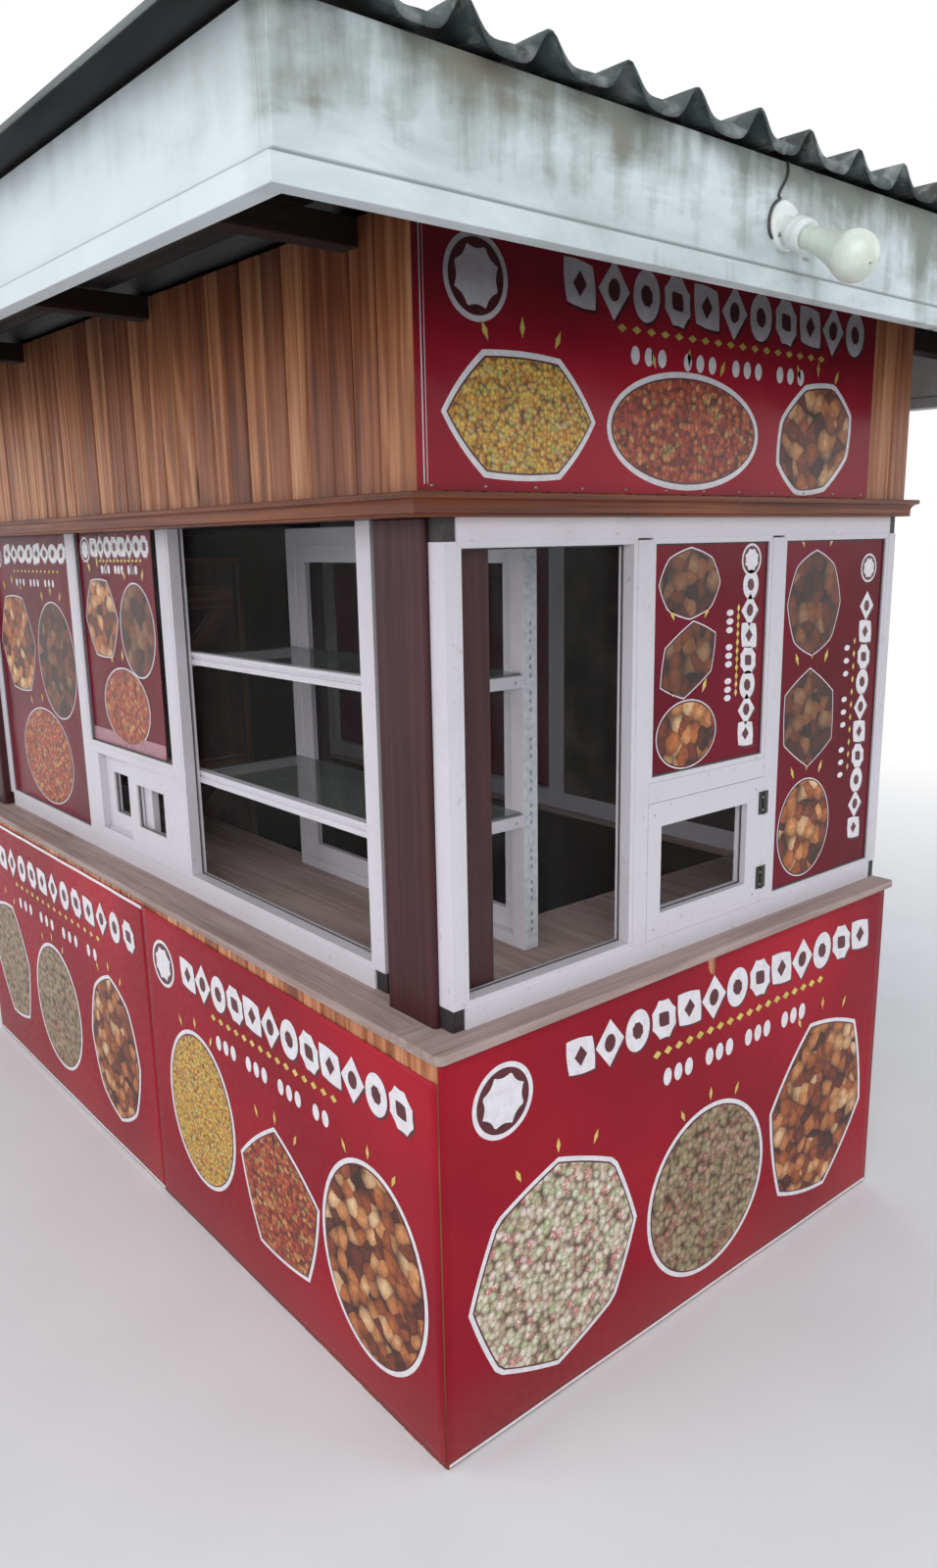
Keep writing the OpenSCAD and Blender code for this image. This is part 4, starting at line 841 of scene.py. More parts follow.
class KIOSK_OT_wall_boards(bpy.types.Operator):
    """Clad the base, the back and the upper band with upright boards of uneven width"""
    bl_idname = "kiosk.wall_boards"
    bl_label = "Wall boards"

    def clad(self, node, origin, across, out, width, low, high, seed, lining):
        """Boards on the face of a wall and lining slabs behind them, each (start, end, low, high, front, back). They
        stand for the wall's node."""
        s = sizes()
        edges = board_edges(width, s.board_pitch, seed)
        shells = [board_shells(origin, across, UP, out, edges, low, np.interp(edges, [0, width], high),
                               (0.0, s.board_thick), s.board_gap, s.board_edge, rows=6, jitter=0.0006, seed=seed)]
        # The linings take tone 0, the darkest: painted shade inside the kiosk.
        for a, b, z0, z1, front, back in lining:
            shells.append(slab(origin, across, UP, out, [a, b], z0, z1, (front, back), 0.001, 0.0, seed + 50))
        piece(node.replace("_wall", "_boards"), joined(*shells), "satin_varnished_boards", (node,))

    def execute(self, context):
        behind = sizes().board_thick + 0.0005
        self.base(behind)
        self.back(behind)
        self.band(behind)
        return {"FINISHED"}

    def base(self, t):
        """The base's front and sides, whose linings start behind the boards at t. The sides start behind the front's
        boards."""
        wall, h, near = BASE_HI[1] - Y0, BASE_HI[2], Y0 + t
        right_end = span("base_right_wall")[1][1]
        for node, origin, across, out, width, seed, a, b in (
                ("base_front_wall", (X0, Y0, 0), RIGHT, -BACK, X1 - X0, 1, t, X1 - X0 - t),
                ("base_left_wall", (X0, Y1, 0), -BACK, -RIGHT, Y1 - near, 2, 0, Y1 - Y0 - wall),
                ("base_right_wall", (X1, near, 0), BACK, RIGHT, right_end - near, 3, wall - t, right_end - near)):
            self.clad(node, np.array(origin), across, out, width, 0, (h, h), seed, [(a, b, 0, (h, h), t, wall)])

    def back(self, t):
        """Back wall beside and over the door."""
        s, wall, shells = sizes(), BASE_HI[1] - Y0, []
        for k, (lo, hi) in enumerate(solids("back_wall")):
            edges, origin = board_edges(hi[0] - lo[0], s.board_pitch, 20 + k), np.array([hi[0], Y1, 0])
            shells.append(board_shells(origin, -RIGHT, UP, BACK, edges, lo[2], hi[2], (0.0, s.board_thick), s.board_gap,
                                       s.board_edge, jitter=0.0006, seed=20 + k))
            # The lining takes tone 0, the darkest: painted shade inside the kiosk.
            shells.append(slab(origin, -RIGHT, UP, BACK, [0, hi[0] - lo[0]], lo[2], hi[2], (t, wall), 0.001, 0.0,
                               30 + k))
        piece("back_wall_boards", joined(*shells), "satin_varnished_boards", ("back_wall",))

    def band(self, t):
        """Upper band: the side walls rise with the roof, and are open behind where the frames' heads stand."""
        z0, head_z = BAND_LO[2], span("left_frame")[1][2] + 0.001
        rise = (SIDE_HI[2] - BAND_HI[2]) / (SIDE_HI[1] - BAND_HI[1])
        w, thick, l = BAND_HI[0] - BAND_LO[0], BAND_HI[1] - BAND_LO[1], BACK_HI[1] - BAND_LO[1]
        z_front = BAND_HI[2] - rise * thick
        z_back = z_front + rise * l
        for node, corner, across, out, z, seed in (
                ("upper_front_wall", (BAND_LO[0], BAND_LO[1], 0), RIGHT, -BACK, z_front, 5),
                ("upper_back_wall", (BAND_HI[0], BACK_HI[1], 0), -RIGHT, BACK, z_back, 6)):
            self.clad(node, np.array(corner), across, out, w, z0, (z, z), seed, [(t, w - t, z0, (z, z), t, thick)])
        near = l - thick
        face, inside = span("left_frame")[0][0] - BAND_LO[0], SIDE_HI[0] - BAND_LO[0]
        top = (z_back - rise * thick, z_back - rise * near)
        self.clad("upper_left_wall", np.array([BAND_LO[0], BACK_HI[1], 0]), -BACK, -RIGHT, l - t, z0,
                  (z_back, z_front), 7, [(thick, near, z0, top, t, face - 0.0005),
                                         (thick, near, head_z, top, face, inside)])
        face, top = BAND_HI[0] - span("right_frame")[1][0], (z_front + rise * thick, z_front + rise * near)
        self.clad("upper_right_wall", np.array([BAND_HI[0], BAND_LO[1] + t, 0]), BACK, RIGHT, l - t, z0,
                  (z_front, z_back), 8, [(thick - t, near - t, z0, top, t, face - 0.0005),
                                         (thick - t, near - t, head_z, top, face, thick)])


class KIOSK_OT_back_door(bpy.types.Operator):
    """Make the back door of upright boards on ledges and braces, and soften its black fittings"""
    bl_idname = "kiosk.back_door"
    bl_label = "Back door"

    def execute(self, context):
        lo, hi = span("back_door")
        t, corner = 0.022, np.array([hi[0], hi[1], 0])
        edges = board_edges(hi[0] - lo[0], 0.097, 60, 0.05)
        # The thin lining behind the boards takes tone 0.02: painted shade on the door's inside.
        shells = [board_shells(corner, -RIGHT, UP, BACK, edges, lo[2], hi[2], (0.0, t - 0.0025), 0.0015,
                               sizes().board_edge, jitter=0.0003, seed=61),
                  slab(corner, -RIGHT, UP, BACK, [0, hi[0] - lo[0]], lo[2], hi[2], (t - 0.0024, t), 0.0005, 0.02)]
        inset, height, up = 0.037, 0.095, 0.120
        levels = [lo[2] + up, (lo[2] + hi[2] - height) / 2, hi[2] - up - height]
        width = hi[0] - lo[0] - 2 * inset
        foot = np.array([lo[0] + inset, hi[1] - 2 * t, 0])
        # The ledges and braces take tone 0.05: painted shade on the door's inside.
        for k, z in enumerate(levels):
            shells.append(slab(foot + z * UP, UP, RIGHT, -BACK, [0, height], 0, width, (0.0, t), 0.004, 0.05, 62 + k,
                               3))
        for k in range(2):
            brace = (width - height) * RIGHT + (levels[k + 1] - levels[k] - height) * UP
            long = np.linalg.norm(brace)
            shells.append(slab(foot + (levels[k] + height) * UP, RIGHT, brace / long, -BACK, [0, height], 0, long,
                               (0.0, t), 0.004, 0.05, 66 + k, 3))
        piece("back_door_boards", joined(*shells), "satin_varnished_boards", ("back_door",))
        softened("back_door_fittings", "black_ironmongery", 0.001)
        self.stops(lo, hi)
        return {"FINISHED"}

    def stops(self, lo, hi):
        """Battens round the inside of the opening, which the door closes against."""
        clear, deep, wide = 0.0028, 0.019, 0.018
        start = (lo[1] - 0.0008) * BACK
        left, right, head = lo[0] - clear, hi[0] + clear - wide, hi[2] + clear
        # The stops take tone 0.05: painted shade inside the opening.
        shells = [slab(start + x * RIGHT, RIGHT, UP, BACK, [0, wide], lo[2], head, (0.0, deep), 0.001, 0.05)
                  for x in (left, right)]
        shells.append(slab(start + (head - wide) * UP, UP, RIGHT, BACK, [0, wide], left + wide, right, (0.0, deep),
                           0.001, 0.05))
        piece("back_door_stops", joined(*shells), "satin_varnished_boards")


class KIOSK_OT_timber(bpy.types.Operator):
    """Finish the posts, ledges, counter, floor and roof timbers"""
    bl_idname = "kiosk.timber"
    bl_label = "Posts, ledges and floor"

    def execute(self, context):
        edge = sizes().timber_edge
        for node, finish, slot in (
                ("corner_posts", "dark_stained_post", "dark_stained_timber"),
                ("ledge_front", "weathered_plank_x", "weathered_timber"),
                ("ledge_left", "weathered_plank_y", "weathered_timber"),
                ("ledge_right", "weathered_plank_y", "weathered_timber"),
                ("counter_boards", "weathered_plank_y", "weathered_timber"),
                ("counter_legs", "sawn_timber_z", "rough_timber"),
                ("floor_bearers", "sawn_timber_x", "rough_timber"),
                ("purlins", "sawn_timber_x", "rough_timber")):
            softened(node, finish, edge)
        lo, hi = span("floor_boards")
        edges = board_edges(hi[0] - lo[0], 0.120, 70, 0.03)
        shell = board_shells(np.array([lo[0], lo[1], hi[2]]), RIGHT, BACK, UP, edges, 0, hi[1] - lo[1],
                             (0.0, hi[2] - lo[2]), 0.0025, 0.002, jitter=0.0005, seed=71)
        piece("floor_planks", shell, "floor_planks", ("floor_boards",))
        return {"FINISHED"}


class KIOSK_OT_moulding(bpy.types.Operator):
    """Carry the crown profile round the foot of the upper band"""
    bl_idname = "kiosk.moulding"
    bl_label = "Moulding"

    def execute(self, context):
        (lo, hi) = span("moulding")
        reach, height = BAND_LO[0] - lo[0], hi[2] - lo[2]
        lip, cove = 0.011, min(reach - 0.012, height - 0.011 - 0.014)
        a = np.radians(np.linspace(180, 90, 9))
        b = np.radians(np.linspace(-60, 60, 7))
        profile = np.concatenate([
            [[0, 0], [0.0098, 0.0002]], np.stack([0.009 + 0.003 * np.cos(b), 0.003 + 0.003 * np.sin(b)], axis=1),
            [[0.0118, 0.0062], [0.012, height - lip - cove]],
            np.stack([0.012 + cove + cove * np.cos(a), height - lip - cove + cove * np.sin(a)], axis=1)[1:-1],
            [[reach - 0.001, height - lip], [reach, height - lip + 0.001], [reach, height - 0.001],
             [reach - 0.001, height], [0, height]]])
        x0, x1, y0, y1 = BAND_LO[0], BAND_HI[0], BAND_LO[1], BACK_HI[1]
        corners = [[x0, y0, lo[2]], [x1, y0, lo[2]], [x1, y1, lo[2]], [x0, y1, lo[2]]]
        outward = [[-1, -1, 0], [1, -1, 0], [1, 1, 0], [-1, 1, 0]]
        shell = runs(profile, corners, outward, rows=12)
        piece("crown_moulding", shell, "varnished_moulding", replaces=("moulding",))
        return {"FINISHED"}


class KIOSK_OT_shopfronts(bpy.types.Operator):
    """Soften the aluminium sections of the frames, hatches and cabinet, and glaze them"""
    bl_idname = "kiosk.shopfronts"
    bl_label = "Shopfront frames"

    def execute(self, context):
        edge = sizes().section_edge
        for node in ("front_frame", "front_mullions", "front_hatch_sash", "left_frame", "left_mullions",
                     "left_hatch_sashes", "right_frame", "cabinet_back_frame", "cabinet_shelf_rails"):
            softened(node, "powder_coated_aluminium", edge)
        softened("corner_blocks", "dark_coated_section", edge)
        softened("front_hatch_hinges", "black_ironmongery", 0.0008)
        for node in ("front_glass", "left_glass", "right_glass"):
            paint(node, "float_glass")
        self.cabinet_glazing()
        self.gaskets()
        self.backing()
        self.film()
        return {"FINISHED"}

    def cabinet_glazing(self):
        """The cabinet's sliding panes and its glass shelves, each a slab with polished arrises."""
        flat, upright = [], []
        for lo, hi in solids("cabinet_glass"):
            w, d, h = hi - lo
            if h < d:
                flat.append(slab(np.array([lo[0], lo[1], hi[2]]), BACK, RIGHT, UP, [0, d], 0, w, (0.0, h), 0.0008))
            else:
                upright.append(slab(np.array([hi[0], lo[1], 0]), BACK, UP, RIGHT, [0, d], lo[2], hi[2], (0.0, w),
                                    0.0006))
        piece("cabinet_shelves", joined(*flat), "dusty_shelf_glass", ("cabinet_glass",))
        piece("cabinet_panes", joined(*upright), "float_glass", ("cabinet_glass",))

    def backing(self):
        """A sheet of hardboard stood behind the clear pane of the right side, inside its beads."""
        (lo, hi), let_in = span("right_glass"), 0.007
        shell = slab(np.array([lo[0] - 0.003, lo[1] + let_in, 0]), BACK, UP, RIGHT, [0, hi[1] - lo[1] - 2 * let_in],
                     lo[2] + let_in, hi[2] - let_in, (0.0, 0.0032), 0.0008)
        piece("right_pane_hardboard", shell, "brown_hardboard")

    def film(self):
        """A strip of film down the cabinet's near post, with blue dashes, and the clear margin under the hung print."""
        lo, hi = [b for b in solids("cabinet_back_frame") if b[1][2] - b[0][2] > 1.0][0]
        surface, w = flat_surface(lo, RIGHT, UP, -BACK), hi[0] - lo[0]
        strip = slab(np.array([lo[0] + 0.002, lo[1] - 0.0004, 0]), RIGHT, UP, -BACK, [0, w - 0.004], lo[2] + 0.004,
                     hi[2] - 0.004, (0.0, 0.0004), 0.0001)
        piece("post_film", strip, "protective_film")
        rows = [small_line((w * 0.5, z), (w * 0.5, z + 0.20), 0.008, 0.012, 11) for z in (0.05, 0.32, 0.59)]
        marks = joined(*(facing(print_shapes(surface, row, 0.0011, 0.0, 10), -BACK) for row in rows))
        piece("post_film_marks", marks, "dusty_blue_ink", closed=False)
        lo, hi = min(solids("left_panels"), key=lambda b: b[1][0] - b[0][0])
        tail = slab(np.array([lo[0], hi[1] - 0.004, 0]), -BACK, UP, -RIGHT, [0, hi[1] - lo[1] - 0.008], lo[2] - 0.018,
                    lo[2] + 0.045, (-0.0002, -0.00002), 0.00005)
        piece("hung_print_margin", tail, "film_margin")

    def gaskets(self):
        """A thin gasket round each pane and panel, on the side that is seen, set against the beads."""
        shells = []
        let_in, wide, proud = 0.006, 0.0035, 0.0016
        for node, axis, sign in (("front_glass", 1, -1), ("front_panels", 1, -1), ("left_glass", 0, -1),
                                 ("left_panels", 0, -1), ("right_glass", 0, 1), ("right_panels", 0, 1)):
            for lo, hi in solids(node):
                if node == "left_panels" and hi[0] - lo[0] < 0.003:
                    continue
                u = 1 - axis
                face = lo[axis] if sign < 0 else hi[axis]
                a, b = lo[u] + let_in, hi[u] - let_in
                c, d = lo[2] + let_in, hi[2] - let_in
                corner = np.zeros((4, 3))
                corner[:, axis] = face
                corner[:, u] = [a, b, b, a]
                corner[:, 2] = [c, c, d, d]
                inward = np.zeros((4, 3))
                inward[:, u] = [1, -1, -1, 1]
                inward[:, 2] = [1, 1, -1, -1]
                out = np.zeros(3)
                out[axis] = sign
                section = np.array([[0, 0], [wide, 0], [wide, proud * 0.6], [wide * 0.6, proud], [0, proud]])
                shells.append(self.ring(section, corner, inward, out))
        shell = joined(*shells)
        piece("glazing_gaskets", shell, "rubber_gasket")

    def ring(self, section, corners, inward, out):
        """A section of (reach inwards, height off the pane) carried round four corners with mitres."""
        c1, m1 = np.roll(corners, -1, axis=0), np.roll(inward, -1, axis=0)
        k = len(section)
        ends_c, ends_m = np.stack([corners, c1], axis=1), np.stack([inward, m1], axis=1)
        points = (ends_c[:, :, None] + ends_m[:, :, None] * section[None, None, :, :1]
                  + out * section[None, None, :, 1:])
        caps = np.array([np.arange(k), np.arange(k)[::-1] + k])
        faces = [repeat(quads(2, k, True), 4, 2 * k), repeat(caps, 4, 2 * k)]
        flat = points.reshape(-1, 3)
        if sum(signed_volume(flat - flat.mean(axis=0), f) for f in faces) < 0:
            faces = [f[:, ::-1] for f in faces]
        return flat, faces, np.zeros((len(flat), 2)), np.zeros(len(flat))


class KIOSK_OT_banners(bpy.types.Operator):
    """Stretch the printed vinyl banners over the base"""
    bl_idname = "kiosk.banners"
    bl_label = "Banners"

    def execute(self, context):
        self.front()
        self.left()
        return {"FINISHED"}

    def wave(self, phase):
        """Shallow waves: two slanted sines and a gather that fades down from the top edge."""
        a = sizes().ripple

        def height(u, v):
            slow = np.sin(3.1 * u + 2.2 * v + phase) * np.sin(1.7 * v - 0.6 * u + 2 * phase)
            quick = np.sin(11.0 * u - 5.0 * v + phase) * 0.28
            gather = 0.5 * np.sin(26.0 * u + phase) * np.exp(-(0.94 - v) / 0.07)
            return a * (1.1 + slow + quick + gather)
        return height

    def sheet(self, name, surface, width, low, high, out, node):
        """A grid of 25 mm over the banner, given the vinyl's thickness by a Solidify modifier."""
        cols, rows = 2 + int(width / 0.025), 2 + int((high(0.0) - low) / 0.025)
        u = np.linspace(0, width, cols)[None, :] + np.zeros((rows, 1))
        v = low + (high(u) - low) * np.linspace(0, 1, rows)[:, None]
        shell = facing((surface(u, v, 0.0).reshape(-1, 3), [quads(rows, cols)], np.stack([u, v], -1), 0 * u), out)
        obj = piece(name, shell, "printed_vinyl", node, closed=False, smooth=True)
        wall = obj.modifiers.new("vinyl", "SOLIDIFY")
        wall.thickness = 0.0008
        wall.offset = -1.0
        height = float(np.mean(high(u[0]) - low))

    def hem(self, name, surface, width, heights, out):
        """White borders of the print along its edges, each from one height to another."""
        bars = [[0.004, width - 0.004, low, high] for low, high in heights]
        piece(name, facing(print_bars(surface, bars, 0.0004), out), "white_ink", closed=False)

    def front(self):
        lo, hi = span("banner_front")
        surface = flat_surface([lo[0], hi[1] - 0.001, 0], RIGHT, UP, -BACK, self.wave(0.4))
        w, foot, top = hi[0] - lo[0], lo[2], hi[2]
        self.sheet("front_banner", surface, w, foot, lambda u: top + 0 * u, -BACK, ("banner_front",))
        roundels = [[0.33, 0.35, 0.25, 0.25, 0, 8, 0.8, 0.84], [0.87, 0.31, 0.22, 0.22, 0, 0, 0, 0.75],
                    [1.36, 0.36, 0.22, 0.27, -14, 6, 0.7, 0.5]]
        print_set("front_banner", surface, -BACK, roundels, figure_line((0.40, 0.835), (1.53, 0.835), 0.084, 0.104, 13),
                  small_line((0.70, 0.680), (1.30, 0.680), 0.030, 0.046, 16),
                  gold_line((0.66, 0.750), (1.34, 0.750), 0.030, 0.022, 18), (0.17, 0.81, 0.085))
        self.hem("front_banner_hem", surface, w, [(foot + 0.002, foot + 0.010)], -BACK)

    def left(self):
        """The near banner, whose top edge drops by 25 mm towards the far one, and the far one with its border."""
        boxes = sorted(solids("banner_left"), key=lambda b: b[0][1])
        for k, name, drop, node, roundels in (
                (0, "near_banner", 0.025, ("banner_left",), [
                    [0.30, 0.40, 0.18, 0.22, 0, 0, 0, 0.1], [0.72, 0.32, 0.19, 0.19, 20, 5, 0.75, 0.95],
                    [1.13, 0.36, 0.19, 0.24, 0, 0, 0, 0.5]]),
                (1, "far_banner", 0.0, (), [
                    [0.27, 0.38, 0.18, 0.24, 8, 6, 0.7, 0.75], [0.75, 0.34, 0.20, 0.22, 0, 0, 0, 0.75],
                    [1.26, 0.36, 0.18, 0.24, 0, 8, 0.5, 0.5]])):
            lo, hi = boxes[k]
            w, foot, top = hi[1] - lo[1], lo[2], hi[2]
            surface = flat_surface([hi[0] - 0.001, hi[1], 0], -BACK, UP, -RIGHT, self.wave(1.3 + k))
            self.sheet(name, surface, w, foot, lambda u: top - drop * u / w, -RIGHT, node)
            print_set(name, surface, -RIGHT, roundels, figure_line((0.28, 0.80), (w - 0.12, 0.80), 0.080, 0.100, 12),
                      small_line((0.44, 0.655), (w - 0.42, 0.655), 0.028, 0.042, 14),
                      gold_line((0.42, 0.722), (w - 0.38, 0.722), 0.028, 0.020, 15), (0.12, 0.785, 0.070))
        self.hem("far_banner_hem", surface, w, [(foot + 0.002, foot + 0.010), (top - 0.014, top - 0.004)], -RIGHT)


class KIOSK_OT_signs(bpy.types.Operator):
    """Print the sign on the upper band and the panels in the frames"""
    bl_idname = "kiosk.signs"
    bl_label = "Sign and printed panels"

    def execute(self, context):
        for node in ("sign_panel", "front_panels", "left_panels", "right_panels"):
            finish = "laminated_sign" if node == "sign_panel" else "laminated_panel"
            softened(node, finish, 0.0008)
        lo, hi = span("sign_panel")
        surface, h = flat_surface(lo, RIGHT, UP, -BACK), hi[2] - lo[2]
        roundels = [[0.25, 0.135, 0.18, 0.112, 0, 6, 0.7, 0.1], [0.73, 0.13, 0.235, 0.105, 0, 0, 0, 0.95],
                    [1.21, 0.135, 0.15, 0.115, 22.5, 8, 0.6, 0.5]]
        print_set("sign", surface, -BACK, roundels, figure_line((0.40, h - 0.075), (1.36, h - 0.075), 0.080, 0.100, 11),
                  small_line((0.56, h - 0.190), (1.18, h - 0.190), 0.026, 0.036, 16),
                  gold_line((0.52, h - 0.142), (1.22, h - 0.142), 0.028, 0.016, 17), (0.14, h - 0.095, 0.075))
        lines = print_bars(surface, [[u, v, 0.01, h - 0.01] for u, v in ((0.012, 0.0145), (0.020, 0.0215))], 0.0004)
        piece("sign_edge_lines", facing(lines, -BACK), "white_ink", closed=False)
        for k, (a, b) in enumerate(solids("front_panels")):
            self.turned_panel("front_panel_%d" % (k + 1), a, b)
        for side, out in (("left", -RIGHT), ("right", RIGHT)):
            for k, (a, b) in enumerate(sorted(solids(side + "_panels"), key=lambda c: c[0][1])):
                self.side_panel("%s_panel_%d" % (side, k + 1), a, b, out)
        return {"FINISHED"}

    def turned_panel(self, name, lo, hi):
        """A front panel: three motifs down one side and the title down the other."""
        w, h = hi[0] - lo[0], hi[2] - lo[2]
        rv = min(0.140 * h, 0.30 * w)
        roundels = [[0.31 * w, 0.17 * h, 0.24 * w, rv, 0, 0, 0, 0.5],
                    [0.31 * w, 0.495 * h, 0.25 * w, rv, 30, 6, 0.8, 0.42],
                    [0.31 * w, 0.82 * h, 0.24 * w, rv, 0, 8, 0.6, 0.42]]
        title = figure_line((0.84 * w, 0.12 * h), (0.84 * w, 0.80 * h), 0.070, 0.060, max(7, int(h / 0.088)), 90.0)
        print_set(name, flat_surface(lo, RIGHT, UP, -BACK), -BACK, roundels, title,
                  small_line((0.66 * w, 0.30 * h), (0.66 * w, 0.72 * h), 0.026, 0.015, 12),
                  gold_line((0.735 * w, 0.32 * h), (0.735 * w, 0.70 * h), 0.012, 0.020, 11),
                  (0.84 * w, 0.91 * h, 0.038), ink=0.0003, rim=0.007)

    def side_panel(self, name, lo, hi, out):
        """A side panel: the title along the top, two motifs and a larger one below. The print that hangs close behind
        a pane carries thinner ink, which clears the glass."""
        ink = 0.00007 if hi[0] - lo[0] < 0.003 else 0.0003
        start = [lo[0], hi[1], lo[2]] if out[0] < 0 else [hi[0], lo[1], lo[2]]
        surface = flat_surface(start, out[0] * BACK, UP, out)
        w, h = hi[1] - lo[1], hi[2] - lo[2]
        r = min(0.22 * w, 0.19 * h)
        roundels = [[0.27 * w, 0.60 * h, r, r * 1.05, 0, 6, 0.7, 0.5],
                    [0.75 * w, 0.56 * h, r * 0.95, r * 1.1, 0, 0, 0, 0.42],
                    [0.52 * w, 0.20 * h, r * 1.35, r * 0.95, 0, 0, 0, 0.95]]
        print_set(name, surface, out, roundels,
                  figure_line((0.24 * w, 0.925 * h), (0.92 * w, 0.925 * h), 0.062 * w / 0.6, 0.062, 8),
                  small_line((0.34 * w, 0.825 * h), (0.84 * w, 0.825 * h), 0.018, 0.026, 12),
                  gold_line((0.32 * w, 0.865 * h), (0.86 * w, 0.865 * h), 0.018, 0.011, 12),
                  (0.11 * w, 0.915 * h, 0.038), ink=ink, rim=0.008)


class KIOSK_OT_roof(bpy.types.Operator):
    """Lay the corrugated sheets and finish the fascia"""
    bl_idname = "kiosk.roof"
    bl_label = "Roof and fascia"

    def execute(self, context):
        softened("fascia_boards", "chalky_fascia_paint", 0.002)
        softened("fascia_trim", "chalky_fascia_paint", 0.0015)
        self.sheets()
        return {"FINISHED"}

    def sheets(self):
        """Sheets of seven ribs that lap by one. Across, the height is a high power of a raised cosine, which makes
        narrow round ribs, plus a crown on the wide pans between them. Along the slope the pans dent a little, and
        at each end they turn down in a lip that is deepest in the middle of the pan."""
        lo, hi = ROOF_LO, ROOF_HI
        middle, pitch = (lo[0] + hi[0]) / 2, sizes().rib_pitch
        half = (hi[0] - lo[0]) / 2 / pitch
        ribs = 2 * math.ceil(half)
        (beam_lo, beam_hi), beam = span("purlins"), solids("purlins")[0]
        depth, width = beam[1][2] - beam[0][2], beam[1][1] - beam[0][1]
        rise = (beam_hi[2] - beam_lo[2] - depth) / (beam_hi[1] - beam_lo[1] - width)
        rib_h = hi[2] - lo[2] - rise * (hi[1] - lo[1]) - 0.011
        rand = rng(90)
        height = rib_h * rand.uniform(0.84, 1.0, ribs + 1)
        lean = rand.uniform(-0.06, 0.06, ribs + 1)
        crown, lip = 0.010, 0.021 * rand.uniform(0.7, 1.1, ribs + 2)
        shells = []
        for k, first in enumerate(range(0, ribs, 6)):
            start, last = max(first, ribs / 2 - half), min(first + 7, ribs / 2 + half)
            a = np.linspace(start, last, 1 + math.ceil((last - start) * 20))[None, :]
            b = np.concatenate([[0, 0, 0, 0.004, 0.012], np.linspace(0.03, 0.97, 48), [0.988, 0.996, 1, 1, 1]])[:, None]
            turn = np.concatenate([[1.0, 0.6, 0.22, 0.06], np.zeros(50), [0.06, 0.22, 0.6, 1.0]])[:, None]
            whole = np.clip(np.floor(a), 0, ribs).astype(int)
            part = a - whole
            bump = ((1 - np.cos(2 * math.pi * (part + lean[whole] * np.sin(math.pi * part)))) / 2) ** 3.0
            pan = np.cos(math.pi * part) ** 2
            tuck = 0.004 * np.abs(turn - 0.5) * (turn > 0) * np.where(b < 0.5, 1, -1)
            y = lo[1] + 0.0015 + (hi[1] - lo[1] - 0.003) * b + tuck
            dent = 0.0014 * np.sin(17 * y + 3 * a) * np.sin(2.3 * a)
            drop = turn * lip[np.round(a).astype(int)] * pan ** 0.6
            side = np.exp(-np.minimum(a - (ribs / 2 - half), ribs / 2 + half - a) * pitch / 0.012) * 0.012
            z = (lo[2] + 0.003 + rise * (y - lo[1]) + bump * height[whole] + crown * pan ** 0.8 + dent * pan - drop
                 - side + 0.0018 * (k % 2))
            x = middle + (a - ribs / 2) * pitch + 0 * b
            points = np.stack([x, y + 0 * a, z], axis=-1)
            shells.append((points.reshape(-1, 3), [quads(*z.shape)], np.stack([x, y + 0 * a], -1), 0 * z))
        shell = joined(*(facing(s, UP) for s in shells))
        obj = piece("corrugated_sheets", shell, "weathered_roofing", closed=False,
                    smooth=True, replaces=("roof_sheets",))
        wall = obj.modifiers.new("sheet metal", "SOLIDIFY")
        wall.thickness = 0.0018
        wall.offset = 0.0


